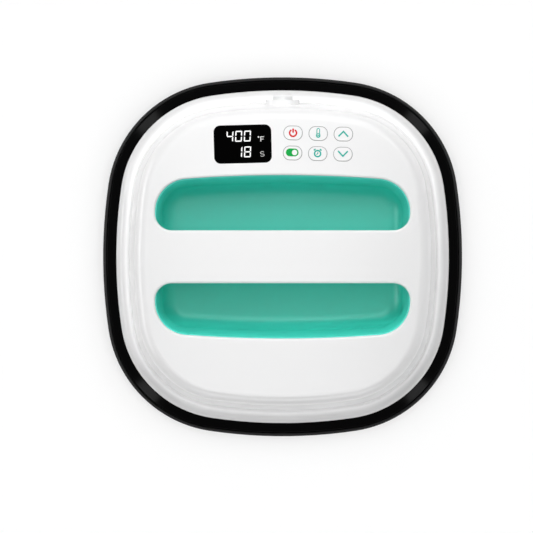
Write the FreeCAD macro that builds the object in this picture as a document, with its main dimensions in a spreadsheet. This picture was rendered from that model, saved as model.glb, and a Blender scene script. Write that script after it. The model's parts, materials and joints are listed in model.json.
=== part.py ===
"""A flat heat press on its insulated stand, as a parametric assembly of separate pieces.

Frame: origin under the middle of the stand, +Z up, +Y to the back, +X to the right; millimetres.
"""
import FreeCAD, Part
import math
import os
import re

import Sketcher

os.makedirs("parts", exist_ok=True)
doc = FreeCAD.newDocument("flat_heat_press")
vector = FreeCAD.Vector

SIZES = {
    # The rounded-square outline that every ring of the press runs parallel to
    "overall_width": 288.0,
    "side_curve": 397.0,
    "corner_curve": 96.3,
    # Stand
    "foot_height": 2.0,
    "foot_radius": 9.0,
    "foot_recess": 1.0,
    "foot_margin": 30.0,
    "tray_height": 20.0,
    "tray_wall": 2.6,
    "tray_floor": 2.6,
    "tray_round": 3.0,
    "rim_round": 0.8,
    "pad_gap": 1.0,
    "pad_thickness": 6.0,
    "liner_thickness": 0.8,
    # Heated plate and its element
    "plate_inset": 17.0,
    "plate_thickness": 8.0,
    "plate_round": 3.0,
    "element_radius": 3.3,
    "element_bend": 20.0,
    "element_edge": 27.0,
    "element_spacing": 52.0,
    "element_return": 45.0,
    "element_end": 14.0,
    "groove_gap": 0.2,
    "terminal_radius": 4.0,
    "terminal_height": 20.0,
    "pin_radius": 1.5,
    "pin_reach": 5.0,
    "thermostat_radius": 8.0,
    "thermostat_height": 4.0,
    "cap_radius": 6.0,
    "cap_height": 4.0,
    "tab_length": 12.0,
    "tab_width": 7.0,
    "tab_thickness": 1.5,
    "bead_radius": 2.4,
    "bead_height": 4.0,
    "cutout_length": 16.0,
    "cutout_width": 6.0,
    "cutout_height": 4.0,
    # Lower skirt
    "skirt_gap": 0.8,
    "skirt_wall": 2.6,
    "skirt_lift": 3.6,
    "skirt_height": 18.0,
    "shoulder_rise": 6.5,
    "shoulder_reveal": 0.6,
    "deck_thickness": 3.0,
    "deck_inset": 30.0,
    # Heat shield, blanket and posts
    "shield_inset": 21.5,
    "shield_thickness": 1.2,
    "plateau_inset": 36.0,
    "plateau_rise": 4.0,
    "blanket_gap": 0.3,
    "hole_gap": 0.4,
    "post_radius": 4.4,
    "post_row": 45.0,
    "post_back": 75.0,
    "post_front": 25.0,
    "bay_width": 72.0,
    "bay_depth": 36.0,
    "bay_y": 26.0,
    "sensor_spacing": 22.0,
    # White top shell
    "shell_inset": 10.55,
    "shell_wall": 2.6,
    "shell_height": 81.0,
    "lip_height": 8.5,
    "lip_round": 7.5,
    "valley_round": 2.3,
    "dome_inset": 20.6,
    "dome_draft": 4.0,
    "dome_round": 9.5,
    "crown_curve": 1839.0,
    "window_round": 1.8,
    # Hand basin and grip bar
    "basin_end_margin": 41.7,
    "basin_side_margin": 78.5,
    "basin_bow": 1040.0,
    "basin_corner": 26.5,
    "corner_share": 0.6,
    "near_corner": 13.5,
    "end_straight": 1.0,
    "basin_depth": 52.0,
    "basin_draft": 8.0,
    "basin_round": 12.0,
    "basin_wall": 2.6,
    "flange_width": 2.5,
    "flange_drop": 8.0,
    "basin_post_radius": 4.5,
    "basin_post_x": 60.0,
    "basin_post_y": 30.0,
    "seat_gap": 0.1,
    "notch_gap": 0.3,
    "grip_width": 42.5,
    "grip_split": 19.0,
    "grip_depth": 27.0,
    "grip_round": 7.5,
    "grip_floor": 5.0,
    "grip_screw_pitch": 50.0,
    # Display
    "display_width": 46.0,
    "display_height": 30.5,
    "display_corner": 5.2,
    "display_x": -32.0,
    "display_margin": 53.6,
    "display_turn": 1.46,
    "lens_flange": 1.0,
    "lens_gap": 0.5,
    "lens_depth": 8.5,
    "fit_gap": 0.15,
    # Keys
    "key_width": 14.7,
    "key_height": 10.9,
    "key_corner": 5.2,
    "key_gap": 0.35,
    "key_pitch_x": 20.2,
    "key_pitch_y": 16.1,
    "keys_x": 28.4,
    "keys_margin": 53.2,
    "keys_turn": -1.4,
    "key_stand": 0.5,
    "key_round": 0.45,
    "key_travel": 0.8,
    "key_flange": 0.8,
    "key_depth": 8.2,
    "stem_radius": 2.0,
    "plunger_radius": 1.7,
    "running_gap": 0.3,
    # Control board
    "board_drop": 15.2,
    "board_thickness": 1.6,
    "board_length": 130.0,
    "board_width": 32.0,
    "board_margin": 55.0,
    "board_edge": 3.5,
    "board_boss_radius": 2.8,
    "tact_size": 6.0,
    "tact_height": 3.5,
    "buzzer_radius": 6.0,
    "buzzer_height": 8.0,
    "chip_size": 10.0,
    "chip_height": 1.6,
    # Power board
    "power_length": 124.0,
    "power_width": 32.0,
    "power_margin": 55.0,
    "power_edge": 4.5,
    "spacer_height": 8.0,
    "spacer_radius": 3.0,
    "transformer_x": -38.0,
    "core_length": 26.0,
    "core_width": 20.0,
    "core_height": 12.0,
    "core_lift": 5.0,
    "coil_length": 18.0,
    "coil_width": 24.0,
    "coil_height": 22.0,
    "capacitor_x": -8.0,
    "capacitor_y": 6.0,
    "capacitor_radius": 6.5,
    "capacitor_height": 20.0,
    "relay_x": 14.0,
    "relay_y": -6.0,
    "relay_length": 20.0,
    "relay_width": 15.0,
    "relay_height": 16.0,
    "fuse_x": -12.0,
    "fuse_y": -10.0,
    "fuse_length": 20.0,
    "fuse_width": 8.0,
    "fuse_height": 9.0,
    "sink_x": 38.0,
    "sink_y": 2.0,
    "sink_base": 2.0,
    "sink_height": 26.0,
    "fin_pitch": 6.0,
    "fin_thickness": 2.0,
    "fin_depth": 6.0,
    "triac_length": 10.0,
    "triac_thickness": 4.5,
    "triac_height": 15.0,
    "triac_lift": 4.0,
    "block_x": 40.0,
    "block_y": -10.0,
    "block_length": 24.0,
    "block_width": 8.0,
    "block_height": 11.0,
    # Cord gland in the back wall
    "gland_clearance": 3.5,
    "gland_pad_width": 27.0,
    "gland_pad_height": 19.0,
    "gland_pad_corner": 8.0,
    "gland_pad_inset": 18.3,
    "gland_radius": 8.0,
    "gland_reach": 3.7,
    "gland_thread": 6.0,
    "gland_depth": 12.0,
    "gland_bore": 3.7,
    "gland_round": 2.0,
    "nut_thickness": 5.0,
    # Fasteners
    "small_screw": 1.25,
    "screw": 1.5,
    "large_screw": 2.0,
    "screw_length": 10.0,
    "large_screw_length": 8.0,
    "head_height": 2.0,
    "thread_gap": 0.1,
    # Wiring
    "wire_radius": 1.2,
    "cable_radius": 1.8,
    "wire_bend": 5.0,
    "lead_bend": 3.0,
    "lead_offset": 5.0,
    "cable_lane": 10.0,
    "mains_lane": -20.0,
}

sheet = doc.addObject("Spreadsheet::Sheet", "Sizes")
for row, (alias, size) in enumerate(SIZES.items(), 1):
    sheet.set("A%d" % row, alias)
    sheet.set("B%d" % row, str(size))
    sheet.setAlias("B%d" % row, alias)
doc.recompute()

# Levels and places that several pieces share, as expressions on the sheet
HALF = "(overall_width / 2)"
TRAY_FLOOR_TOP = "(foot_height + tray_floor)"
RIM_TOP = "(foot_height + tray_height)"
PAD_TOP = "(foot_height + tray_floor + pad_thickness)"
PLATE_FACE = f"({PAD_TOP} + liner_thickness)"
PLATE_TOP = f"({PLATE_FACE} + plate_thickness)"
ELEMENT_TOP = f"({PLATE_TOP} + element_radius)"
SKIRT_EDGE = f"({PLATE_FACE} + skirt_lift)"
DECK_TOP = f"({SKIRT_EDGE} + skirt_height)"
DECK_UNDER = f"({DECK_TOP} - deck_thickness)"
SHIELD_TOP = f"({DECK_TOP} + shield_thickness)"
PLATEAU_UNDER = f"({DECK_TOP} + plateau_rise)"
PLATEAU_TOP = f"({PLATEAU_UNDER} + shield_thickness)"
LIP_TOP = f"({DECK_TOP} + lip_height)"
CROWN = f"({DECK_TOP} + shell_height)"
BASIN_FLOOR = f"({CROWN} - basin_depth)"
BASIN_UNDER = f"({BASIN_FLOOR} - basin_wall)"
GRIP_SPLIT = f"({CROWN} - grip_split)"
GRIP_UNDER = f"({CROWN} - grip_depth)"
GRIP_BOSS_UNDER = f"({GRIP_UNDER} + grip_floor + seat_gap)"
KEY_UNDER = f"({CROWN} - key_depth)"
LENS_UNDER = f"({CROWN} - lens_depth)"
BOARD_TOP = f"({CROWN} - board_drop)"
BOARD_UNDER = f"({BOARD_TOP} - board_thickness)"
STEM_END = f"({BOARD_TOP} + tact_height + key_travel + running_gap)"
POWER_UNDER = f"({PLATEAU_TOP} + spacer_height)"
POWER_TOP = f"({POWER_UNDER} + board_thickness)"

SKIRT_INSET = "(tray_wall + skirt_gap)"
BOSS_INSET = "((shell_inset + dome_inset) / 2 + shell_wall / 2)"
LIP_PILOT = "(lip_height - shell_wall * 0.6)"
SHIELD_SCREW_INSET = "((shield_inset + deck_inset) / 2)"
CORNER_CENTRE = (
    f"((sqrt(2 * (side_curve - corner_curve)^2 - (side_curve - {HALF})^2) - (side_curve - {HALF})) / 2)"
)
ELEMENT_OUTER = f"({HALF} - plate_inset - element_edge)"
ELEMENT_INNER = f"({ELEMENT_OUTER} - element_spacing)"
POST_X = f"({ELEMENT_OUTER} - element_spacing / 2)"
TERMINAL_X = "(element_end - terminal_radius - groove_gap)"
BASIN_END = f"({HALF} - basin_end_margin)"
BASIN_SIDE = f"({HALF} - basin_side_margin)"
FAR_CORNER = f"min(basin_corner; corner_share * ({BASIN_SIDE} - grip_width / 2))"
FAR_CENTRE = (
    f"({BASIN_SIDE} - basin_bow + sqrt((basin_bow - {FAR_CORNER})^2 - ({BASIN_END} - {FAR_CORNER})^2))"
)
NEAR_CORNER = f"min(near_corner; {FAR_CENTRE} - grip_width / 2 - end_straight)"
DISPLAY_Y = f"({HALF} - display_margin)"
KEYS_Y = f"({HALF} - keys_margin)"
BOARD_Y = f"({HALF} - board_margin)"
POWER_Y = f"(power_margin - {HALF})"
BOARD_HOLE_X = "(board_length / 2 - board_edge)"
BOARD_HOLE_Y = "(board_width / 2 - board_edge)"
POWER_HOLE_X = "(power_length / 2 - power_edge)"
POWER_HOLE_Y = "(power_width / 2 - power_edge)"
GLAND_SEAT = f"({HALF} - gland_pad_inset)"
GLAND_LEVEL = f"({LIP_TOP} + gland_radius + gland_clearance)"

HEAD_RADIUS = "(screw * 1.9)"
SHORT_SCREW = "(screw_length * 0.8)"

# Half rows and whole columns of the key grid, back row first, and the keys' names in that order
KEY_GRID = [(row, column) for row in (0.5, -0.5) for column in (-1, 0, 1)]
KEY_NAMES = ["power_key", "temperature_key", "up_key", "mode_key", "timer_key", "down_key"]

# How near an edge has to lie to where it is looked for
SLACK = 0.1

exported = []


def bound(text):
    """An expression with each size's name pointing at its cell."""
    return re.sub(r"[a-z_]\w*", lambda name: "Sizes." + name[0] if name[0] in SIZES else name[0], str(text))


def value(text):
    """The number that an expression on the sheet comes to."""
    return float(sheet.evalExpression(bound(text)))


def bind(item, path, text):
    """Ties one property of an object to an expression on the sheet."""
    item.setExpression(path, bound(text))


def keep(item, name):
    """Names a finished piece and puts it on the list of pieces to write."""
    item.Label = name
    exported.append(item)
    return item


def place(item, x=0, y=0, z=0):
    """Puts an object at a place that follows the sheet."""
    for axis, text in zip("xyz", (x, y, z)):
        bind(item, "Placement.Base." + axis, text)
    return item


def new_body(name):
    return doc.addObject("PartDesign::Body", name)


def new_sketch(body, name, level=0, x=0, y=0, turn=None, role="XY_Plane"):
    """A sketch on one of the body's own origin planes, moved to a level and a place."""
    sketch = body.newObject("Sketcher::SketchObject", name)
    plane = next(feature for feature in body.Origin.OriginFeatures if feature.Role == role)
    sketch.AttachmentSupport = [(plane, "")]
    sketch.MapMode = "FlatFace"
    for axis, text in zip("xyz", (x, y, level)):
        bind(sketch, "AttachmentOffset.Base." + axis, text)
    if turn:
        bind(sketch, "AttachmentOffset.Rotation.Angle", turn)
    return sketch


def dimension(sketch, kind, *ends, size):
    """Adds a sized constraint whose size is an expression."""
    count = len(sketch.Constraints)
    sketch.addConstraint(Sketcher.Constraint(kind, *ends, value(size)))
    sketch.setExpression("Constraints[%d]" % count, bound(size))


def fix_across(sketch, item, end, axis, text):
    """Fixes a point's distance from the sketch's origin along one axis, on whichever side it lies."""
    if abs(value(text)) < 1e-9:
        sketch.addConstraint(Sketcher.Constraint("PointOnObject", item, end, -2 if axis == "X" else -1))
    elif value(text) < 0:
        dimension(sketch, "Distance" + axis, item, end, -1, 1, size=f"-({text})")
    else:
        dimension(sketch, "Distance" + axis, -1, 1, item, end, size=text)


def pin_point(sketch, item, end, x, y):
    """Fixes a point of the sketch at two expressions measured from the sketch's origin."""
    fix_across(sketch, item, end, "X", x)
    fix_across(sketch, item, end, "Y", y)


def close_chain(sketch, count, kind="Tangent", first=0):
    """Joins each item's end to the next one's start, round to the first."""
    for item in range(count):
        sketch.addConstraint(Sketcher.Constraint(kind, first + item, 2, first + (item + 1) % count, 1))


def arc(centre, radius, start, end):
    return Part.ArcOfCircle(Part.Circle(vector(*centre, 0), vector(0, 0, 1), radius), start, end)


def outline_centres(inset):
    """Where the outline's arcs have their centres, their radii and the angle at which they join."""
    side = value(f"side_curve - {inset}")
    corner = value(f"corner_curve - {inset}")
    back = value(f"side_curve - {HALF}")
    middle = value(CORNER_CENTRE)
    return side, corner, back, middle, math.atan2(middle, middle + back)


def ring_sketch(body, name, level, inset):
    """The rounded-square outline, moved in by the inset: four long side arcs and four corner arcs."""
    sketch = new_sketch(body, name, level)
    side, corner, back, middle, joint = outline_centres(inset)
    arcs = []
    for quarter in range(4):
        facing = quarter * math.pi / 2
        diagonal = facing + math.pi / 4
        side_centre = (-back * math.cos(facing), -back * math.sin(facing))
        reach = middle * math.sqrt(2)
        corner_centre = (reach * math.cos(diagonal), reach * math.sin(diagonal))
        arcs.append(arc(side_centre, side, facing - joint, facing + joint))
        arcs.append(arc(corner_centre, corner, facing + joint, facing + math.pi / 2 - joint))
    sketch.addGeometry(arcs, False)
    close_chain(sketch, 8)
    for first, others in ((0, (2, 4, 6)), (1, (3, 5, 7))):
        for other in others:
            sketch.addConstraint(Sketcher.Constraint("Equal", first, other))
    for item, axis in ((0, -1), (2, -2)):
        sketch.addConstraint(Sketcher.Constraint("PointOnObject", item, 3, axis))
        sketch.addConstraint(Sketcher.Constraint("Symmetric", item, 3, item + 4, 3, -1, 1))
    dimension(sketch, "Radius", 0, size=f"side_curve - {inset}")
    dimension(sketch, "Radius", 1, size=f"corner_curve - {inset}")
    dimension(sketch, "DistanceX", 0, 3, -1, 1, size=f"side_curve - {HALF}")
    dimension(sketch, "DistanceY", 2, 3, -1, 1, size=f"side_curve - {HALF}")
    return sketch


def rectangle_sketch(body, name, level, width, depth, corner, x=0, y=0, turn=None, role="XY_Plane",
                     copies_at=((0, 0),)):
    """A rectangle with round corners, or equal ones, about the sketch's own place."""
    sketch = new_sketch(body, name, level, x, y, turn, role)
    across, along, radius = value(f"({width}) / 2"), value(f"({depth}) / 2"), value(corner)
    for copy, (shift_x, shift_y) in enumerate(copies_at):
        middle = vector(value(shift_x), value(shift_y), 0)
        first = 8 * copy
        items = []
        for quarter, (sx, sy) in enumerate(((1, 1), (-1, 1), (-1, -1), (1, -1))):
            centre = (middle.x + sx * (across - radius), middle.y + sy * (along - radius))
            start = quarter * math.pi / 2
            items.append(arc(centre, radius, start, start + math.pi / 2))
            flat_x, flat_y = across - radius, along - radius
            ends = [(sx * flat_x, sy * along), (-sx * flat_x, sy * along)]
            if quarter % 2:
                ends = [(sx * across, sy * flat_y), (sx * across, -sy * flat_y)]
            items.append(Part.LineSegment(*(middle + vector(*end, 0) for end in ends)))
        sketch.addGeometry(items, False)
        close_chain(sketch, 8, first=first)
        for item in (2, 4, 6):
            sketch.addConstraint(Sketcher.Constraint("Equal", first, first + item))
        for item, kind in ((1, "Horizontal"), (3, "Vertical"), (5, "Horizontal"), (7, "Vertical")):
            sketch.addConstraint(Sketcher.Constraint(kind, first + item))
        if copy:
            sketch.addConstraint(Sketcher.Constraint("Equal", 0, first))
        else:
            dimension(sketch, "Radius", 0, size=corner)
        fix_across(sketch, first + 1, 1, "Y", f"({shift_y}) + ({depth}) / 2")
        fix_across(sketch, first + 3, 1, "X", f"({shift_x}) - ({width}) / 2")
        fix_across(sketch, first + 5, 1, "Y", f"({shift_y}) - ({depth}) / 2")
        fix_across(sketch, first + 7, 1, "X", f"({shift_x}) + ({width}) / 2")
    return sketch


def circle_sketch(body, name, level, places, radius, role="XY_Plane"):
    """Equal circles at a list of places."""
    sketch = new_sketch(body, name, level, role=role)
    for item, (x, y) in enumerate(places):
        centre = vector(value(x), value(y), 0)
        sketch.addGeometry(Part.Circle(centre, vector(0, 0, 1), value(radius)), False)
        pin_point(sketch, item, 3, x, y)
        if item:
            sketch.addConstraint(Sketcher.Constraint("Equal", 0, item))
        else:
            dimension(sketch, "Radius", 0, size=radius)
    return sketch


def polygon_sketch(body, name, corners, level=0, role="XY_Plane"):
    """A closed outline of straight lines through a list of corners."""
    sketch = new_sketch(body, name, level, role=role)
    points = [vector(value(x), value(y), 0) for x, y in corners]
    lines = [Part.LineSegment(point, after) for point, after in zip(points, points[1:] + points[:1])]
    sketch.addGeometry(lines, False)
    close_chain(sketch, len(lines), "Coincident")
    for item, (x, y) in enumerate(corners):
        pin_point(sketch, item, 1, x, y)
    return sketch


def feature(body, kind, name, profile, length=None, taper=None, backwards=False):
    """A pad or a pocket; with no length, a pocket goes through everything."""
    item = body.newObject("PartDesign::" + kind, name)
    item.Profile = profile
    item.Reversed = backwards
    if length is None:
        item.Type = "ThroughAll"
    else:
        bind(item, "Length", length)
    if taper:
        bind(item, "TaperAngle", taper)
    return item


def pad(body, name, profile, length, taper=None, downwards=False):
    return feature(body, "Pad", name, profile, length, taper, downwards)


def pocket(body, name, profile, length=None, upwards=False):
    """Cuts down from the sketch, or up from it."""
    before = corner_sum(body)
    item = feature(body, "Pocket", name, profile, length, None, upwards)
    return check_cut(body, item, before)


def corner_sum(body):
    """A quick measure of a body so far, which any cut changes."""
    doc.recompute()
    corners = body.Tip.Shape.Vertexes
    return len(corners), round(sum(corner.X + 2 * corner.Y + 3 * corner.Z for corner in corners), 3)


def check_cut(body, item, before):
    if corner_sum(body) == before or item.Shape.isNull():
        raise RuntimeError("nothing cut by " + item.Name)
    return item


def hollow_out(body, core):
    """Takes another body's form out of this one."""
    before = corner_sum(body)
    cut = body.newObject("PartDesign::Boolean", core.Name + "_cut")
    cut.Type = "Cut"
    cut.setObjects([core])
    body.Tip = cut
    return check_cut(body, cut, before)


def dress(body, kind, name, test, size):
    """A fillet or chamfer on every edge of the body so far that passes the test."""
    doc.recompute()
    base = body.Tip
    edges = ["Edge%d" % number for number, edge in enumerate(base.Shape.Edges, 1) if test(edge)]
    if not edges:
        raise RuntimeError("no edge for " + name)
    item = body.newObject("PartDesign::" + kind, name)
    item.Base = (base, edges)
    bind(item, "Radius" if kind == "Fillet" else "Size", size)
    return item


def lies_at(edge, level):
    box = edge.BoundBox
    return abs(box.ZMin - value(level)) < 1e-3 and abs(box.ZMax - value(level)) < 1e-3


def inset_of(edge):
    """How far the middle of an edge lies in from the overall outline."""
    middle_point = edge.valueAt((edge.FirstParameter + edge.LastParameter) / 2)
    side, corner, back, middle, joint = outline_centres(0)
    far, near = sorted((abs(middle_point.x), abs(middle_point.y)), reverse=True)
    if math.atan2(near, far + back) <= joint:
        return side - math.hypot(far + back, near)
    return corner - math.hypot(far - middle, near - middle)


def on_crown(spot, stand="0"):
    """Whether a point lies on the dome's crown, or a stand above it."""
    level = value(f"{CROWN} + {stand}") - (spot.x ** 2 + spot.y ** 2) / value("2 * crown_curve")
    return abs(spot.z - level) < SLACK


def on_ring(level, inset):
    """A test for edges that lie at a level on the outline moved in by an inset."""
    return lambda edge: lies_at(edge, level) and abs(inset_of(edge) - value(inset)) < SLACK


def crown_cut(body, name, drop=0):
    """Trims a body to the dome's gentle crown, moved down by a drop."""
    level, radius = f"({CROWN} - ({drop}))", f"(crown_curve - ({drop}))"
    reach, rise = f"({HALF} + shell_wall)", "(shell_height / 2)"
    sketch = new_sketch(body, name + "_profile", role="XZ_Plane")
    top, out, above = value(level), value(reach), value(rise)
    low = value(f"{CROWN} - crown_curve")
    edge_height = low + math.sqrt(value(radius) ** 2 - out ** 2)
    corners = [(0, top), (0, top + above), (out, top + above), (out, edge_height)]
    points = [vector(*corner, 0) for corner in corners]
    sketch.addGeometry(arc((0, low), value(radius), math.atan2(edge_height - low, out), math.pi / 2), False)
    sketch.addGeometry([Part.LineSegment(*pair) for pair in zip(points, points[1:])], False)
    close_chain(sketch, 4, "Coincident")
    for kind, item in (("Vertical", 1), ("Horizontal", 2), ("Vertical", 3)):
        sketch.addConstraint(Sketcher.Constraint(kind, item))
    for end in (3, 2):
        sketch.addConstraint(Sketcher.Constraint("PointOnObject", 0, end, -2))
    dimension(sketch, "Radius", 0, size=radius)
    dimension(sketch, "DistanceY", 0, 3, -1, 1, size=f"crown_curve - {CROWN}")
    dimension(sketch, "DistanceX", 2, 1, 2, 2, size=reach)
    dimension(sketch, "DistanceY", 1, 1, 1, 2, size=rise)
    before = corner_sum(body)
    cut = body.newObject("PartDesign::Groove", name)
    cut.Profile = sketch
    cut.ReferenceAxis = (sketch, ["V_Axis"])
    cut.Angle = 360
    return check_cut(body, cut, before)


def turned(name, corners):
    """A body turned about its own vertical axis from (radius, height) corners."""
    body = new_body(name)
    profile = polygon_sketch(body, name + "_profile", corners, role="XZ_Plane")
    turn = body.newObject("PartDesign::Revolution", name + "_turned")
    turn.Profile = profile
    turn.ReferenceAxis = (profile, ["V_Axis"])
    turn.Angle = 360
    return body


def screw(name, radius, length):
    """A pan-head screw whose tip is at its origin and whose head is uppermost."""
    head = f"({radius} * 1.9)"
    top = f"({length} + head_height)"
    body = turned(name, [
        (0, 0), (f"{radius} * 0.6", 0), (radius, f"{radius} * 0.8"), (radius, length),
        (head, length), (head, f"{length} + head_height * 0.5"), (f"{head} * 0.6", top), (0, top),
    ])
    return body


def copies(name, master, places, flipped=False):
    """One piece made of equal, separate solids: a link to the master at each place."""
    links = []
    for number, spot in enumerate(places, 1):
        link = doc.addObject("App::Link", "%s_%d" % (name, number))
        link.LinkedObject = master
        if flipped:
            link.Placement = FreeCAD.Placement(vector(), FreeCAD.Rotation(vector(1, 0, 0), 180))
        links.append(place(link, *spot))
    group = doc.addObject("Part::Compound", name)
    group.Links = links
    return keep(group, name)


def block(name, length, width, height, x, y, z):
    """A plain block centred on x and y, standing on z."""
    item = doc.addObject("Part::Box", name)
    for side, text in (("Length", length), ("Width", width), ("Height", height)):
        bind(item, side, text)
    return place(item, f"{x} - ({length}) / 2", f"{y} - ({width}) / 2", z)


def drum(name, radius, height, x, y, z):
    """A plain round drum standing on z."""
    item = doc.addObject("Part::Cylinder", name)
    bind(item, "Radius", radius)
    bind(item, "Height", height)
    return place(item, x, y, z)


def softened(name, base, radius):
    """The upright and top edges of a block, rounded."""
    doc.recompute()
    low, size = base.Shape.BoundBox.ZMin, value(radius)
    numbers = [number for number, edge in enumerate(base.Shape.Edges, 1) if edge.BoundBox.ZMax > low + 1e-6]
    item = doc.addObject("Part::Fillet", name)
    item.Base = base
    item.Edges = [(number, size, size) for number in numbers]
    return item


def joined(name, kind, *items):
    item = doc.addObject("Part::" + kind, name)
    if kind == "Cut":
        item.Base, item.Tool = items
    else:
        item.Shapes = list(items)
    return item


def mirrored_places(x, y):
    return [(f"{sx}({x})", f"{sy}({y})") for sx in ("", "-") for sy in ("", "-")]


def ring_places(inset):
    """Eight places on the outline moved in by an inset: the middle of each side and each corner."""
    side = f"({HALF} - {inset})"
    corner = f"({CORNER_CENTRE} + (corner_curve - {inset}) * sqrt(0.5))"
    return [(side, 0), (f"-{side}", 0), (0, side), (0, f"-{side}")] + mirrored_places(corner, corner)


def wire_path(points, bend):
    """Straight runs joined by arcs of one bend radius, as a single wire."""
    spots = [vector(*(value(part) for part in point)) for point in points]
    edges, start = [], spots[0]
    for before, corner, after in zip(spots, spots[1:], spots[2:]):
        back, on = (before - corner).normalize(), (after - corner).normalize()
        half_turn = (math.pi - back.getAngle(on)) / 2
        first = corner + back * (bend * math.tan(half_turn))
        last = corner + on * (bend * math.tan(half_turn))
        inward = (back + on).normalize()
        middle = corner + inward * (bend / math.cos(half_turn) - bend)
        edges += [Part.LineSegment(start, first).toShape(), Part.Arc(first, middle, last).toShape()]
        start = last
    edges.append(Part.LineSegment(start, spots[-1]).toShape())
    return Part.Wire(edges)


def wires(name, radius, bend, *routes):
    """Round leads swept along their routes, each its own solid."""
    solids = []
    for route in routes:
        path = wire_path(route, value(bend))
        first = path.OrderedVertexes[0].Point
        along = path.OrderedEdges[0].tangentAt(path.OrderedEdges[0].FirstParameter)
        section = Part.Wire(Part.Circle(first, along, value(radius)).toShape())
        solids.append(path.makePipeShell([section], True, False))
    item = doc.addObject("Part::Feature", name)
    item.Shape = Part.makeCompound(solids) if len(solids) > 1 else solids[0]
    return keep(item, name)


def stand():
    """The insulated stand: a dished tray with a foam pad, a woven liner and four feet."""
    foot_spot = f"({CORNER_CENTRE} + (corner_curve - foot_margin) * sqrt(0.5))"
    feet = mirrored_places(foot_spot, foot_spot)

    tray = new_body("stand_tray")
    pad(tray, "tray_block", ring_sketch(tray, "tray_outline", "foot_height", "0"), "tray_height")
    hollow = ring_sketch(tray, "tray_hollow_outline", TRAY_FLOOR_TOP, "tray_wall")
    pocket(tray, "tray_hollow", hollow, "tray_height", upwards=True)
    seats = circle_sketch(tray, "foot_seat_circles", "foot_height", feet, "foot_radius + fit_gap")
    pocket(tray, "foot_seats", seats, "foot_recess", upwards=True)
    dress(tray, "Fillet", "tray_edge", on_ring("foot_height", "0"), "tray_round")
    dress(tray, "Fillet", "tray_rim", lambda edge: lies_at(edge, RIM_TOP), "rim_round")
    keep(tray, "stand_tray")

    cushion = new_body("stand_pad")
    pad(cushion, "pad_block", ring_sketch(cushion, "pad_outline", TRAY_FLOOR_TOP, "(tray_wall + pad_gap)"),
        "pad_thickness")
    keep(cushion, "stand_pad")

    liner = new_body("stand_liner")
    pad(liner, "liner_sheet", ring_sketch(liner, "liner_outline", PAD_TOP, "(tray_wall + pad_gap)"),
        "liner_thickness")
    keep(liner, "stand_liner")

    tall = "(foot_height + foot_recess)"
    foot = turned("foot", [
        (0, 0), ("foot_radius - foot_recess", 0), ("foot_radius", "foot_recess"), ("foot_radius", tall),
        (0, tall),
    ])
    copies("stand_feet", foot, [(x, y, 0) for x, y in feet])


def post_places():
    return mirrored_places(POST_X, "post_row") + [(0, "post_back"), (0, "-post_front")]


def element_route():
    """The heating tube's way over the plate: an open loop with two long inner runs."""
    outer, inner, end = ELEMENT_OUTER, ELEMENT_INNER, "element_end"
    cross = f"(element_return - {outer})"
    left = [(f"-{end}", f"-{outer}"), (f"-{outer}", f"-{outer}"), (f"-{outer}", outer),
            (f"-{inner}", outer), (f"-{inner}", cross)]
    right = [(x.lstrip("-"), y) for x, y in reversed(left)]
    return [(x, y, PLATE_TOP) for x, y in left + right]


def heated_plate():
    """The cast plate with the tube let into its top, the tube's terminals and the sensors."""
    plate = new_body("plate_casting")
    plate_outline = ring_sketch(plate, "plate_outline", PLATE_FACE, "plate_inset")
    pad(plate, "plate_block", plate_outline, "plate_thickness")
    dress(plate, "Fillet", "plate_edge", on_ring(PLATE_FACE, "plate_inset"), "plate_round")
    studs = circle_sketch(plate, "stud_circles", PLATE_TOP, post_places(), "large_screw + thread_gap")
    pocket(plate, "stud_holes", studs, "plate_thickness * 0.65")
    doc.recompute()

    route = wire_path(element_route(), value("element_bend"))
    start = route.OrderedVertexes[0].Point
    wide = value("element_radius + groove_gap")
    across = [start + vector(0, wide * y, wide * z) for y, z in ((-1, 1), (1, 1), (1, -1), (-1, -1))]
    channel = doc.addObject("Part::Feature", "element_channel")
    channel.Shape = route.makePipeShell([Part.makePolygon(across + across[:1])], True, False)
    keep(joined("grooved_plate", "Cut", plate, channel), "heat_plate")
    wires("heating_element", "element_radius", "element_bend", element_route())

    pin_top = "(terminal_height + pin_reach)"
    terminal = turned("terminal", [
        (0, 0), ("terminal_radius", 0), ("terminal_radius", "terminal_height"),
        ("pin_radius", "terminal_height"), ("pin_radius", pin_top), (0, pin_top),
    ])
    copies("element_terminals", terminal,
           [(f"{sign}{TERMINAL_X}", f"-{ELEMENT_OUTER}", PLATE_TOP) for sign in ("", "-")])

    base = drum("thermostat_base", "thermostat_radius", "thermostat_height", 0, "bay_y", PLATE_TOP)
    cap = drum("thermostat_cap", "cap_radius", "cap_height", 0, "bay_y", f"{PLATE_TOP} + thermostat_height")
    keep(joined("thermostat_switch", "MultiFuse", base, cap), "thermostat")
    tab = block("thermistor_tab", "tab_length", "tab_width", "tab_thickness",
                "sensor_spacing", "bay_y", PLATE_TOP)
    bead = drum("thermistor_bead", "bead_radius", "bead_height", "sensor_spacing", "bay_y",
                f"{PLATE_TOP} + tab_thickness")
    keep(joined("thermistor_probe", "MultiFuse", tab, bead), "thermistor")
    fuse = softened("fuse_body", block("fuse_block", "cutout_width", "cutout_length", "cutout_height",
                                       "-sensor_spacing", "bay_y", PLATE_TOP), "tab_thickness * 0.6")
    keep(fuse, "thermal_fuse")


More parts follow.
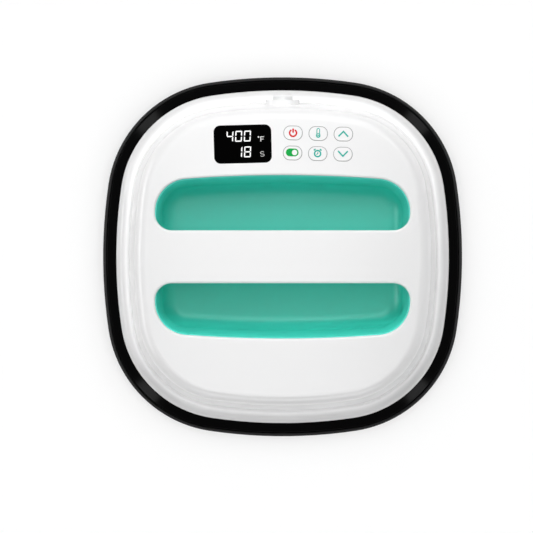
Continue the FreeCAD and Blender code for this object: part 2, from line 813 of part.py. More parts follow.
def skirt():
    """The black ring round the plate: a straight wall, a sloping shoulder and an inward deck."""
    body = new_body("lower_skirt")
    run = f"(shell_inset - shoulder_reveal - {SKIRT_INSET})"
    wall_height = "skirt_height - shoulder_rise"
    pad(body, "skirt_wall_block", ring_sketch(body, "skirt_outline", SKIRT_EDGE, SKIRT_INSET), wall_height)
    shoulder = ring_sketch(body, "shoulder_outline", f"{SKIRT_EDGE} + {wall_height}", SKIRT_INSET)
    pad(body, "shoulder", shoulder, "shoulder_rise", f"-atan({run} / shoulder_rise)")
    inside = f"({SKIRT_INSET} + skirt_wall)"
    pocket(body, "skirt_hollow", ring_sketch(body, "skirt_inside", SKIRT_EDGE, inside),
           "skirt_height - shoulder_rise", upwards=True)
    under = ring_sketch(body, "deck_inside", SKIRT_EDGE, f"({inside} + {run})")
    pocket(body, "deck_hollow", under, "skirt_height - deck_thickness", upwards=True)
    opening = ring_sketch(body, "opening_outline", SKIRT_EDGE, "deck_inset")
    pocket(body, "plate_opening", opening, upwards=True)
    for name, inset in (("shell_screw", BOSS_INSET), ("shield_screw", SHIELD_SCREW_INSET)):
        holes = circle_sketch(body, name + "_circles", DECK_UNDER, ring_places(inset), "screw + thread_gap")
        pocket(body, name + "_holes", holes, upwards=True)
    dress(body, "Fillet", "shoulder_edge", lambda edge: lies_at(edge, f"{SKIRT_EDGE} + {wall_height}")
          and inset_of(edge) < value(SKIRT_INSET) + SLACK, "rim_round")
    keep(body, "lower_skirt")
    length = f"(deck_thickness + {LIP_PILOT} - fit_gap)"
    copies("shell_screws", screw("shell_screw", "screw", length),
           [(x, y, f"{DECK_UNDER} + {length}") for x, y in ring_places(BOSS_INSET)], flipped=True)


def shield_and_blanket():
    """Mineral blanket over the plate, the pressed steel shield above it and the posts between."""
    terminals = [(f"{sign}{TERMINAL_X}", f"-{ELEMENT_OUTER}") for sign in ("", "-")]

    blanket = new_body("insulation_blanket")
    low, high = f"({ELEMENT_TOP} + blanket_gap)", f"({PLATEAU_UNDER} - blanket_gap)"
    edge = "(plateau_inset + shield_thickness + blanket_gap)"
    pad(blanket, "blanket_block", ring_sketch(blanket, "blanket_outline", low, edge), f"{high} - {low}")
    basin_posts = mirrored_places("basin_post_x", "basin_post_y")
    holes = (("post", post_places(), "post_radius"), ("terminal", terminals, "terminal_radius"),
             ("screw", basin_posts, HEAD_RADIUS))
    for name, places, radius in holes:
        circles = circle_sketch(blanket, name + "_circles", low, places, f"{radius} + hole_gap")
        pocket(blanket, name + "_holes", circles, upwards=True)
    bay = rectangle_sketch(blanket, "bay_outline", low, "bay_width", "bay_depth", "post_radius", 0, "bay_y")
    pocket(blanket, "sensor_bay", bay, upwards=True)
    keep(blanket, "insulation_blanket")

    shield = new_body("heat_shield")
    flange = ring_sketch(shield, "flange_outline", DECK_TOP, "shield_inset")
    pad(shield, "shield_flange", flange, "shield_thickness")
    plateau = ring_sketch(shield, "plateau_outline", SHIELD_TOP, "plateau_inset")
    pad(shield, "plateau", plateau, "plateau_rise")
    under = ring_sketch(shield, "plateau_inside", DECK_TOP, "(plateau_inset + shield_thickness)")
    pocket(shield, "plateau_hollow", under, "plateau_rise", upwards=True)
    holes = [("plate_screw", post_places(), "large_screw"), ("terminal", terminals, "terminal_radius"),
             ("basin_screw", basin_posts, "screw"),
             ("spacer", power_hole_places(), "screw"),
             ("lead", [("sensor_spacing", "bay_y")], "cable_radius")]
    for name, places, radius in holes:
        circles = circle_sketch(shield, name + "_circles", PLATEAU_TOP, places, f"{radius} + hole_gap")
        pocket(shield, name + "_holes", circles)
    circles = circle_sketch(shield, "deck_screw_circles", SHIELD_TOP, ring_places(SHIELD_SCREW_INSET),
                            "screw + hole_gap")
    pocket(shield, "deck_screw_holes", circles)
    dress(shield, "Fillet", "plateau_edge", on_ring(PLATEAU_TOP, "plateau_inset"), "shield_thickness")
    keep(shield, "heat_shield")

    height = f"({PLATEAU_UNDER} - {PLATE_TOP})"
    hexagon = doc.addObject("Part::Prism", "post_hexagon")
    hexagon.Polygon = 6
    bind(hexagon, "Circumradius", "post_radius")
    bind(hexagon, "Height", height)
    stud = drum("post_stud", "large_screw", "plate_thickness * 0.6", 0, 0, "-plate_thickness * 0.6")
    bore = drum("post_bore", "large_screw + thread_gap", "large_screw_length", 0, 0,
                f"{height} - large_screw_length")
    post = joined("post", "Cut", joined("post_with_stud", "MultiFuse", hexagon, stud), bore)
    copies("plate_posts", post, [(x, y, PLATE_TOP) for x, y in post_places()])

    copies("plate_screws", screw("plate_screw", "large_screw", "large_screw_length"),
           [(x, y, f"{PLATEAU_TOP} - large_screw_length") for x, y in post_places()])
    short = screw("shield_screw", "screw", "(deck_thickness + shield_thickness + head_height)")
    copies("shield_screws", short,
           [(x, y, f"{DECK_UNDER} - head_height") for x, y in ring_places(SHIELD_SCREW_INSET)])


def dome(body, grow):
    """The shell's outer form, or with a grow of the wall its inner form: lip, valley and crowned dome."""
    base = f"({DECK_TOP} - ({grow}))"
    rim = ring_sketch(body, "lip_outline", base, f"(shell_inset + {grow})")
    pad(body, "lip", rim, "lip_height")
    side = ring_sketch(body, "dome_outline", f"{LIP_TOP} - ({grow})", f"(dome_inset + {grow})")
    pad(body, "dome", side, "shell_height - lip_height + dome_draft", "-dome_draft")
    crown_cut(body, "crown", grow)
    top = value(CROWN)
    sag = value(f"({HALF} - dome_inset)^2 / crown_curve + dome_draft")
    dress(body, "Fillet", "dome_edge", lambda edge: edge.BoundBox.ZMin > top - sag,
          f"dome_round - ({grow})")
    dress(body, "Fillet", "lip_edge", on_ring(f"{LIP_TOP} - ({grow})", f"shell_inset + {grow}"),
          f"lip_round - ({grow})")
    dress(body, "Fillet", "valley", on_ring(f"{LIP_TOP} - ({grow})", f"dome_inset + {grow}"),
          f"valley_round + ({grow})")


def windows_sketch(body, name, level):
    """The two hand windows: straight along the grip, round at the ends, slightly bowed on the far side."""
    sketch = new_sketch(body, name, level)
    end, near, far = value(BASIN_END), value("grip_width / 2"), value(BASIN_SIDE)
    bow, big, small = value("basin_bow"), value(FAR_CORNER), value(NEAR_CORNER)
    bow_centre, big_y = far - bow, value(FAR_CENTRE)
    lean = math.atan2(end - big, big_y - bow_centre)
    small_y = near + small
    quarter = math.pi / 2
    back = [
        Part.LineSegment(vector(small - end, near, 0), vector(end - small, near, 0)),
        arc((end - small, small_y), small, -quarter, 0),
        Part.LineSegment(vector(end, small_y, 0), vector(end, big_y, 0)),
        arc((end - big, big_y), big, 0, quarter - lean),
        arc((0, bow_centre), bow, quarter - lean, quarter + lean),
        arc((big - end, big_y), big, quarter + lean, 2 * quarter),
        Part.LineSegment(vector(-end, big_y, 0), vector(-end, small_y, 0)),
        arc((small - end, small_y), small, 2 * quarter, 3 * quarter),
    ]
    half_turn = FreeCAD.Placement(vector(), FreeCAD.Rotation(vector(0, 0, 1), 180)).toMatrix()
    for first, items in ((0, back), (8, [item.copy() for item in back])):
        if first:
            for item in items:
                item.transform(half_turn)
        sketch.addGeometry(items, False)
        sign = "-" if first else ""
        close_chain(sketch, 8, first=first)
        for kind, item in (("Horizontal", 0), ("Vertical", 2), ("Vertical", 6)):
            sketch.addConstraint(Sketcher.Constraint(kind, first + item))
        sketch.addConstraint(Sketcher.Constraint("PointOnObject", first + 4, 3, -2))
        sketch.addConstraint(Sketcher.Constraint("Equal", first + 1, first + 7))
        sketch.addConstraint(Sketcher.Constraint("Equal", first + 3, first + 5))
        dimension(sketch, "Radius", first + 1, size=NEAR_CORNER)
        dimension(sketch, "Radius", first + 3, size=FAR_CORNER)
        dimension(sketch, "Radius", first + 4, size="basin_bow")
        fix_across(sketch, first + 4, 3, "Y", f"{sign}({BASIN_SIDE} - basin_bow)")
        fix_across(sketch, first, 1, "Y", f"{sign}(grip_width / 2)")
        fix_across(sketch, first + 2, 1, "X", f"{sign}({BASIN_END})")
        fix_across(sketch, first + 6, 1, "X", f"-{sign}({BASIN_END})".replace("--", ""))
    return sketch


def shell_core():
    """The room inside the shell: its inner form, less the grip walls and bosses, plus their screw holes."""
    core = new_body("shell_core")
    dome(core, "shell_wall")
    strip = "(grip_width / 2 - shell_wall / 2)"
    walls = rectangle_sketch(core, "grip_wall_outlines", GRIP_SPLIT, f"2 * ({BASIN_END} + basin_wall)",
                             "shell_wall", "shell_wall / 4", copies_at=[(0, strip), (0, f"-{strip}")])
    pocket(core, "grip_walls", walls, upwards=True)
    boss = "screw + shell_wall * 0.8"
    bosses = [("lip", DECK_TOP, ring_places(BOSS_INSET), boss, "screw", LIP_PILOT),
              ("board", BOARD_TOP, board_hole_places(), "board_boss_radius", "small_screw", SHORT_SCREW),
              ("grip", GRIP_BOSS_UNDER, grip_screw_places(), boss, "screw", "screw_length")]
    for name, level, places, radius, hole, depth in bosses:
        pocket(core, name + "_bosses", circle_sketch(core, name + "_boss_circles", level, places, radius),
               upwards=True)
        pilots = circle_sketch(core, name + "_pilot_circles", f"{level} - seat_gap", places,
                               f"{hole} + thread_gap")
        pad(core, name + "_pilots", pilots, f"{depth} + seat_gap")
    way_in = circle_sketch(core, "gland_circle", f"-({GLAND_SEAT} - gland_depth)", [(0, GLAND_LEVEL)],
                           "gland_thread + fit_gap", role="XZ_Plane")
    pad(core, "gland_hole", way_in, "gland_depth + shell_wall", downwards=True)
    return core


def top_shell():
    """The white moulded shell with its hand windows, grip walls, panel openings and screw bosses."""
    shell = new_body("top_shell")
    dome(shell, "0")
    above = f"({CROWN} + shell_wall)"
    windows = windows_sketch(shell, "window_outlines", above)
    pocket(shell, "hand_windows", windows, "grip_split + shell_wall")
    end, near, far = value(BASIN_END), value("grip_width / 2"), value(BASIN_SIDE)

    def window_top(edge):
        spot = edge.valueAt((edge.FirstParameter + edge.LastParameter) / 2)
        inside = abs(spot.x) < end + SLACK and near - SLACK < abs(spot.y) < far + SLACK
        return inside and on_crown(spot)

    dress(shell, "Fillet", "window_edge", window_top, "window_round")
    lens = rectangle_sketch(shell, "display_outline", above, "display_width + 2 * fit_gap",
                            "display_height + 2 * fit_gap", "display_corner + fit_gap",
                            "display_x", DISPLAY_Y, "display_turn")
    pocket(shell, "display_opening", lens, "flange_drop + shell_wall")
    grid = [(f"{column} * key_pitch_x", f"{row} * key_pitch_y") for row, column in KEY_GRID]
    pills = rectangle_sketch(shell, "key_outlines", above, "key_width + 2 * key_gap",
                             "key_height + 2 * key_gap", "key_corner + key_gap", "keys_x", KEYS_Y,
                             "keys_turn", copies_at=grid)
    pocket(shell, "key_openings", pills, "flange_drop + shell_wall")
    start = "(dome_inset + shell_wall * 0.92)"
    plate = rectangle_sketch(shell, "gland_pad_outline", f"-({HALF} - {start})", "gland_pad_width",
                             "gland_pad_height", "gland_pad_corner", 0, GLAND_LEVEL, role="XZ_Plane")
    pad(shell, "gland_pad", plate, f"{start} - gland_pad_inset", downwards=True)
    hollow_out(shell, shell_core())
    keep(shell, "top_shell")


def grip_screw_places():
    pitch = "grip_screw_pitch"
    return [(f"{pitch} * {step}", 0) for step in (-1.5, -0.5, 0.5, 1.5)]


def board_hole_places():
    return [(x, f"{BOARD_Y} + {y}") for x, y in mirrored_places(BOARD_HOLE_X, BOARD_HOLE_Y)]


def power_hole_places():
    return [(x, f"{POWER_Y} + {y}") for x, y in mirrored_places(POWER_HOLE_X, POWER_HOLE_Y)]


def key_places():
    """The six keys' centres: two rows of three on a slightly turned grid, back row first."""
    places = []
    for row, column in KEY_GRID:
        x = f"keys_x + {column} * key_pitch_x * cos(keys_turn) - {row} * key_pitch_y * sin(keys_turn)"
        y = f"{KEYS_Y} + {column} * key_pitch_x * sin(keys_turn) + {row} * key_pitch_y * cos(keys_turn)"
        places.append((x, y))
    return places


def basin_sketch(body, name, level, grow="0"):
    """The basin's plan: straight ends, round corners and slightly bowed long sides."""
    sketch = new_sketch(body, name, level)
    wide = value(grow)
    end, far = value(BASIN_END) + wide, value(BASIN_SIDE) + wide
    bow, corner = value("basin_bow") + wide, value(FAR_CORNER) + wide
    centre = far - bow
    corner_y = centre + math.sqrt((bow - corner) ** 2 - (end - corner) ** 2)
    lean = math.atan2(end - corner, corner_y - centre)
    quarter = math.pi / 2
    items = [
        Part.LineSegment(vector(end, -corner_y, 0), vector(end, corner_y, 0)),
        arc((end - corner, corner_y), corner, 0, quarter - lean),
        arc((0, centre), bow, quarter - lean, quarter + lean),
        arc((corner - end, corner_y), corner, quarter + lean, 2 * quarter),
        Part.LineSegment(vector(-end, corner_y, 0), vector(-end, -corner_y, 0)),
        arc((corner - end, -corner_y), corner, 2 * quarter, 3 * quarter - lean),
        arc((0, -centre), bow, 3 * quarter - lean, 3 * quarter + lean),
        arc((end - corner, -corner_y), corner, 3 * quarter + lean, 4 * quarter),
    ]
    sketch.addGeometry(items, False)
    close_chain(sketch, 8)
    for item in (0, 4):
        sketch.addConstraint(Sketcher.Constraint("Vertical", item))
    for item in (3, 5, 7):
        sketch.addConstraint(Sketcher.Constraint("Equal", 1, item))
    sketch.addConstraint(Sketcher.Constraint("Equal", 2, 6))
    sketch.addConstraint(Sketcher.Constraint("PointOnObject", 2, 3, -2))
    sketch.addConstraint(Sketcher.Constraint("PointOnObject", 6, 3, -2))
    dimension(sketch, "Radius", 1, size=f"{FAR_CORNER} + {grow}")
    dimension(sketch, "Radius", 2, size=f"basin_bow + {grow}")
    dimension(sketch, "DistanceY", 2, 3, -1, 1, size=f"basin_bow - {BASIN_SIDE}")
    dimension(sketch, "DistanceY", -1, 1, 6, 3, size=f"basin_bow - {BASIN_SIDE}")
    dimension(sketch, "DistanceX", -1, 1, 0, 1, size=f"{BASIN_END} + {grow}")
    dimension(sketch, "DistanceX", 4, 1, -1, 1, size=f"{BASIN_END} + {grow}")
    return sketch


def tub(body, grow):
    """The basin's outer form, or with no growth its inner form: drafted sides and a round floor edge."""
    outline = basin_sketch(body, "tub_outline", CROWN, grow)
    pad(body, "tub", outline, f"basin_depth + ({grow})", "-basin_draft", downwards=True)
    dress(body, "Fillet", "tub_edge", lambda edge: lies_at(edge, f"{BASIN_FLOOR} - ({grow})"),
          f"basin_round + ({grow})")


def basin():
    """The coloured hand basin: a drafted tub under the windows, with a flange, posts and saddle notches."""
    room = new_body("basin_room")
    tub(room, "0")

    body = new_body("handle_basin")
    tub(body, "basin_wall")
    flange = basin_sketch(body, "flange_outline", f"{CROWN} - flange_drop", "(basin_wall + flange_width)")
    pad(body, "flange", flange, "flange_drop")
    posts = mirrored_places("basin_post_x", "basin_post_y")
    circles = circle_sketch(body, "post_circles", PLATEAU_TOP, posts, "basin_post_radius")
    pad(body, "posts", circles, f"{BASIN_UNDER} - {PLATEAU_TOP} + basin_wall / 2")
    pilots = circle_sketch(body, "post_pilots", PLATEAU_TOP, posts, "screw + thread_gap")
    pocket(body, "post_holes", pilots, "screw_length", upwards=True)
    hollow_out(body, room)
    crown_cut(body, "crown", "shell_wall + notch_gap")
    reach = f"2 * ({BASIN_END} + basin_wall + flange_width) + grip_width"
    notch = rectangle_sketch(body, "notch_outline", CROWN, reach, "grip_width + 2 * notch_gap", "notch_gap")
    pocket(body, "saddle_notches", notch, "grip_depth + notch_gap")
    keep(body, "handle_basin")
    copies("basin_screws", screw("basin_screw", "screw", "screw_length"),
           [(x, y, f"{PLATEAU_UNDER} + screw_length") for x, y in posts], flipped=True)


def grip_underside():
    """The trough that closes the grip bar from below, held by four screws in counterbores."""
    body = new_body("handle_underside")
    reach = f"2 * ({BASIN_END} + basin_wall)"
    outline = rectangle_sketch(body, "trough_outline", GRIP_UNDER, reach, "grip_width", "shell_wall / 4")
    pad(body, "trough", outline, "grip_depth - grip_split - seat_gap")
    width = value("grip_width / 2")
    dress(body, "Fillet", "trough_edge", lambda edge: lies_at(edge, GRIP_UNDER)
          and abs(abs(edge.CenterOfMass.y) - width) < SLACK, "grip_round")
    inside = rectangle_sketch(body, "trough_inside", f"{GRIP_UNDER} + grip_floor",
                              f"{reach} - 2 * grip_floor", "grip_width - 2 * grip_floor", "shell_wall")
    pocket(body, "trough_hollow", inside, upwards=True)
    holes = circle_sketch(body, "screw_circles", GRIP_UNDER, grip_screw_places(), "screw + hole_gap")
    pocket(body, "screw_holes", holes, "grip_floor", upwards=True)
    wells = circle_sketch(body, "counterbore_circles", GRIP_UNDER, grip_screw_places(),
                          f"{HEAD_RADIUS} + hole_gap")
    pocket(body, "counterbores", wells, "grip_floor / 2", upwards=True)
    keep(body, "handle_underside")
    tip = f"{GRIP_UNDER} + grip_floor / 2 + screw_length"
    copies("handle_screws", screw("handle_screw", "screw", "screw_length"),
           [(x, y, tip) for x, y in grip_screw_places()], flipped=True)


def display():
    """The dark window, flush with the crown and flanged from below, and the module behind it."""
    lens = new_body("display_window")
    place_and_turn = ("display_x", DISPLAY_Y, "display_turn")
    flange = rectangle_sketch(lens, "flange_outline", LENS_UNDER, "display_width + 2 * lens_flange",
                              "display_height + 2 * lens_flange", "display_corner + lens_flange",
                              *place_and_turn)
    pad(lens, "flange", flange, "lens_depth")
    crown_cut(lens, "flange_crown", "shell_wall + lens_gap")
    face = rectangle_sketch(lens, "lens_outline", LENS_UNDER, "display_width", "display_height",
                            "display_corner", *place_and_turn)
    pad(lens, "lens", face, "lens_depth + shell_wall")
    crown_cut(lens, "lens_crown", "0")
    keep(lens, "display_window")

    module = new_body("display_module")
    outline = rectangle_sketch(module, "module_outline", BOARD_TOP, "display_width - shell_wall",
                               "display_height - shell_wall", "fit_gap * 4", *place_and_turn)
    pad(module, "module", outline, f"{LENS_UNDER} - {BOARD_TOP} - seat_gap")
    keep(module, "display_module")


def keys():
    """Six pill-shaped keys with inner flanges and stems, each on its own switch plunger."""
    for name, (x, y) in zip(KEY_NAMES, key_places()):
        key = new_body(name)
        flange = rectangle_sketch(key, "flange_outline", KEY_UNDER, "key_width + 2 * key_flange",
                                  "key_height + 2 * key_flange", "key_corner + key_flange", x, y,
                                  "keys_turn")
        pad(key, "flange", flange, "key_depth")
        crown_cut(key, "flange_crown", "shell_wall + running_gap")
        face = rectangle_sketch(key, "cap_outline", KEY_UNDER, "key_width", "key_height", "key_corner",
                                x, y, "keys_turn")
        pad(key, "cap", face, "key_depth + shell_wall")
        crown_cut(key, "cap_crown", "-key_stand")

        def cap_top(edge):
            return on_crown(edge.valueAt((edge.FirstParameter + edge.LastParameter) / 2), "key_stand")

        dress(key, "Fillet", "cap_edge", cap_top, "key_round")
        pad(key, "stem", circle_sketch(key, "stem_circle", STEM_END, [(x, y)], "stem_radius"),
            f"{KEY_UNDER} - {STEM_END} + key_stand")
        keep(key, name)
        reach = "(key_travel + 2 * running_gap + tact_height / 2)"
        pin = drum(name + "_pin", "plunger_radius", reach, x, y, f"{STEM_END} - {reach}")
        keep(pin, name.replace("key", "plunger"))


def control_board():
    """The board under the panel with its switches, sounder and controller."""
    board = new_body("control_board")
    outline = rectangle_sketch(board, "board_outline", BOARD_UNDER, "board_length", "board_width",
                               "board_boss_radius", 0, BOARD_Y)
    pad(board, "board", outline, "board_thickness")
    pocket(board, "board_holes", circle_sketch(board, "hole_circles", BOARD_UNDER, board_hole_places(),
                                               "small_screw + hole_gap"), upwards=True)
    keep(board, "control_board")

    case = block("tact_case", "tact_size", "tact_size", "tact_height", 0, 0, 0)
    well_depth = "(tact_height / 2 + key_travel + running_gap)"
    well = drum("tact_well", "plunger_radius + running_gap", well_depth, 0, 0,
                f"tact_height - {well_depth}")
    copies("tact_switches", joined("tact", "Cut", case, well), [(x, y, BOARD_TOP) for x, y in key_places()])

    keep(drum("buzzer_case", "buzzer_radius", "buzzer_height", "display_x", BOARD_Y,
              f"{BOARD_UNDER} - buzzer_height"), "buzzer")
    chip = block("chip_case", "chip_size", "chip_size", "chip_height", 0, BOARD_Y,
                 f"{BOARD_UNDER} - chip_height")
    keep(chip, "control_chip")
    copies("board_screws", screw("board_screw", "small_screw", SHORT_SCREW),
           [(x, y, f"{BOARD_UNDER} + {SHORT_SCREW}") for x, y in board_hole_places()], flipped=True)


def power_board():
    """The mains board on its spacers, with the parts that switch and supply the heater."""
    board = new_body("power_board")
    outline = rectangle_sketch(board, "board_outline", POWER_UNDER, "power_length", "power_width",
                               "spacer_radius", 0, POWER_Y)
    pad(board, "board", outline, "board_thickness")
    pocket(board, "board_holes", circle_sketch(board, "hole_circles", POWER_UNDER, power_hole_places(),
                                               "screw + hole_gap"), upwards=True)
    keep(board, "power_board")

    spacer = turned("spacer", [
        ("screw + thread_gap", 0), ("spacer_radius", 0), ("spacer_radius", "spacer_height"),
        ("screw + thread_gap", "spacer_height"),
    ])
    copies("board_spacers", spacer, [(x, y, PLATEAU_TOP) for x, y in power_hole_places()])
    copies("power_board_screws", screw("power_screw", "screw", "screw_length"),
           [(x, y, f"{POWER_TOP} - screw_length") for x, y in power_hole_places()])

    core = block("transformer_core", "core_length", "core_width", "core_height", "transformer_x", POWER_Y,
                 f"{POWER_TOP} + core_lift")
    winding = block("transformer_winding", "coil_length", "coil_width", "coil_height", "transformer_x",
                    POWER_Y, POWER_TOP)
    coil = softened("transformer_coil", winding, "core_lift * 0.4")
    keep(joined("transformer_parts", "MultiFuse", core, coil), "transformer")
    can = drum("capacitor_can", "capacitor_radius", "capacitor_height", "capacitor_x",
               f"{POWER_Y} + capacitor_y", POWER_TOP)
    keep(can, "capacitor")
    relay = block("relay_block", "relay_length", "relay_width", "relay_height", "relay_x",
                  f"{POWER_Y} + relay_y", POWER_TOP)
    keep(softened("relay_case", relay, "small_screw / 2"), "relay")
    holder = block("fuse_holder_block", "fuse_length", "fuse_width", "fuse_height", "fuse_x",
                   f"{POWER_Y} + fuse_y", POWER_TOP)
    keep(softened("fuse_case", holder, "small_screw * 0.8"), "fuse_holder")
    heatsink()
    case = block("triac_case", "triac_length", "triac_thickness", "triac_height", "sink_x",
                 f"{POWER_Y} + sink_y - seat_gap - triac_thickness / 2", f"{POWER_TOP} + triac_lift")
    keep(case, "triac")
    clamps = block("terminal_case", "block_length", "block_width", "block_height", "block_x",
                   f"{POWER_Y} + block_y", POWER_TOP)
    keep(clamps, "terminal_block")


def heatsink():
    """The finned extrusion that the switching part stands against."""
    sink = new_body("triac_heatsink")
    gaps = 4
    half = f"({gaps} * fin_pitch + fin_thickness) / 2"
    back, root = f"{POWER_Y} + sink_y", f"{POWER_Y} + sink_y + sink_base"
    tip = f"{root} + fin_depth"
    corners = [(f"sink_x - {half}", back), (f"sink_x + {half}", back), (f"sink_x + {half}", tip)]
    for gap in range(gaps):
        near = f"sink_x + {half} - {gap} * fin_pitch - fin_thickness"
        far = f"sink_x + {half} - {gap + 1} * fin_pitch"
        corners += [(near, tip), (near, root), (far, root), (far, tip)]
    corners.append((f"sink_x - {half}", tip))
    pad(sink, "fins", polygon_sketch(sink, "fin_profile", corners, POWER_TOP), "sink_height")
    keep(sink, "triac_heatsink")


def gland():
    """The cord's collar in the back wall and the nut that holds it from inside."""
    depth = "gland_depth"
    body = turned("cord_gland", [
        ("gland_bore", 0), ("gland_thread", 0), ("gland_thread", depth), ("gland_radius", depth),
        ("gland_radius", f"{depth} + gland_reach"), ("gland_bore", f"{depth} + gland_reach"),
    ])
    top = value("gland_depth + gland_reach")
    dress(body, "Fillet", "collar_edge", lambda edge: abs(edge.BoundBox.ZMin - top) < 1e-3
          and edge.BoundBox.XMax > value("gland_thread"), "gland_round")
    body.Placement = FreeCAD.Placement(vector(), FreeCAD.Rotation(vector(1, 0, 0), -90))
    keep(place(body, 0, f"{GLAND_SEAT} - {depth}", GLAND_LEVEL), "cord_gland")

    hexagon = doc.addObject("Part::Prism", "nut_hexagon")
    hexagon.Polygon = 6
    bind(hexagon, "Circumradius", "gland_radius + shell_wall")
    bind(hexagon, "Height", "nut_thickness")
    hole = drum("nut_hole", "gland_thread + thread_gap", "nut_thickness", 0, 0, 0)
    nut = joined("nut", "Cut", hexagon, hole)
    nut.Placement = FreeCAD.Placement(vector(), FreeCAD.Rotation(vector(1, 0, 0), -90))
    above_lip = "(gland_clearance + 2 * gland_radius + shell_wall)"
    inner_face = f"({HALF} - dome_inset - shell_wall - {above_lip} * tan(dome_draft))"
    keep(place(nut, 0, f"{inner_face} - nut_thickness - fit_gap", GLAND_LEVEL), "gland_nut")


def wiring():
    """The leads between the terminals, the sensors and the two boards."""
    pin_y = f"(-{ELEMENT_OUTER} - pin_radius - seat_gap)"
    pin_z = f"({PLATE_TOP} + terminal_height + pin_reach / 2)"
    block_face = f"({POWER_Y} + block_y - block_width / 2 - seat_gap)"
    routes = []
    for sign, x, lane, high in (
        ("", "block_x - block_length / 6", f"{pin_y} - 2 * lead_bend", f"{POWER_TOP} + 2 * lead_bend"),
        ("-", "block_x + block_length / 6", f"{pin_y} - 4 * lead_bend", f"{POWER_TOP} + 3.2 * lead_bend"),
    ):
        start = f"{sign}{TERMINAL_X}"
        routes.append([(start, pin_y, pin_z), (start, lane, pin_z), (start, lane, high), (x, lane, high),
                       (x, block_face, high)])
    wires("heater_leads", "wire_radius", "lead_bend", *routes)

    lane_z = f"({PLATEAU_TOP} + {BASIN_UNDER}) / 2"
    lead_y = f"({BOARD_Y} - lead_offset)"
    wires("sensor_lead", "wire_radius", "wire_bend",
          [("sensor_spacing", "bay_y", f"{PLATE_TOP} + tab_thickness + bead_height + seat_gap"),
           ("sensor_spacing", "bay_y", lane_z), ("sensor_spacing", lead_y, lane_z),
           ("sensor_spacing", lead_y, f"{BOARD_UNDER} - seat_gap")])
    cable_z = f"(({POWER_TOP} + {BASIN_UNDER}) / 2)"
    cable_y = f"({POWER_Y} + power_width / 2 - power_edge)"
    wires("board_cable", "cable_radius", f"min(wire_bend; {cable_z} - {POWER_TOP} - 2 * seat_gap)",
          [("cable_lane", cable_y, f"{POWER_TOP} + seat_gap"), ("cable_lane", cable_y, cable_z),
           ("cable_lane", lead_y, cable_z), ("cable_lane", lead_y, f"{BOARD_UNDER} - seat_gap")])
    inner_end = f"({GLAND_SEAT} - gland_depth - seat_gap)"
    fuse_face = f"({POWER_Y} + fuse_y + fuse_width / 2 + seat_gap)"
    wires("mains_lead", "cable_radius", "wire_bend",
          [(0, inner_end, GLAND_LEVEL), (0, f"{inner_end} - 4 * wire_bend", GLAND_LEVEL),
           ("mains_lane", f"{inner_end} - 10 * wire_bend", cable_z), ("mains_lane", fuse_face, cable_z)])


stand()
heated_plate()
skirt()
shield_and_blanket()
top_shell()
basin()
grip_underside()
display()
keys()
control_board()
power_board()
gland()
wiring()
doc.recompute()

for item in doc.Objects:
    if "Invalid" in item.State or "Error" in item.State:
        raise RuntimeError("%s failed: %s" % (item.Name, item.State))
for item in exported:
    if item.Shape.isNull() or not item.Shape.isValid():
        raise RuntimeError(item.Label + " has no valid shape")
    item.Shape.exportStep("parts/%s.step" % item.Label)
print(len(exported), "pieces")
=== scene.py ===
"""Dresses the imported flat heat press: its finishes, its panel, its soft pieces and a studio stage."""
import json
import math

import bmesh
import bpy
from bpy.props import FloatProperty, FloatVectorProperty, PointerProperty
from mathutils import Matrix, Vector


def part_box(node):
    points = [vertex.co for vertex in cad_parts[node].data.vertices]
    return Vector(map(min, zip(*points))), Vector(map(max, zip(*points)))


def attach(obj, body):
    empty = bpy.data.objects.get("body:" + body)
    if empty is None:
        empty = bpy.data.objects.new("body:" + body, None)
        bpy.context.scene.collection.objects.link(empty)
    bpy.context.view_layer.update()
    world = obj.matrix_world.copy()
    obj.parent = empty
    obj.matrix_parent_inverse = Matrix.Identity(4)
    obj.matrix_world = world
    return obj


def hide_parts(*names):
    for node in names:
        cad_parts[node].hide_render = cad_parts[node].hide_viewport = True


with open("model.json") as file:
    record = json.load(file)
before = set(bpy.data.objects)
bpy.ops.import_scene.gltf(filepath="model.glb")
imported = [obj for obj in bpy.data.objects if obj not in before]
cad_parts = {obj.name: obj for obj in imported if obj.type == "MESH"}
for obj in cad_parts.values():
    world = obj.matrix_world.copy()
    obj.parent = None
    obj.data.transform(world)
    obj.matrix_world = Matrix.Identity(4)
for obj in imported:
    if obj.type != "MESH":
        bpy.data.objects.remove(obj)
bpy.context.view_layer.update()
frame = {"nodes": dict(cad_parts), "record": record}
nodes = frame["nodes"]

bl_info = {
    "name": "Flat heat press",
    "version": (1, 0, 0),
    "blender": (4, 5, 0),
    "location": "3D View > Sidebar > Heat press",
    "description": "Dresses the packed heat press with its finishes, soft pieces and stage",
    "category": "Object",
}

# Millimetres and microns in the scene's metres. Sizes are in millimetres, except the stage's, in metres.
MM = 0.001
MICRON = 0.000001

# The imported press: half its width, the radii of its sides, corners and crowned top, and its levels.
HALF = 144.0
SIDE_CURVE = 397.0
CORNER_CURVE = 96.3
CROWN = 114.0
CROWN_CURVE = 1839.0
LIP_TOP = 41.5
TRAY_FLOOR = 4.6
PAD_TOP = 10.6

# The soft pieces: how far each lies inside the press's outline, its edge's round and its gaps. The liner's
# corners lift from where it is flat, and its top is divided into rings for that.
PAD_INSET = 3.9
PAD_EDGE = 1.6
PAD_SINK = 0.05
LINER_INSET = 4.2
LINER_THICK = 0.45
LINER_RINGS = 7
LINER_RING_WIDTH = 2.2
LINER_FLAT = 122.0
LINER_REACH = 150.0
BLANKET_INSET = 37.7
BLANKET_EDGE = 1.2
BLANKET_GAP = 0.15

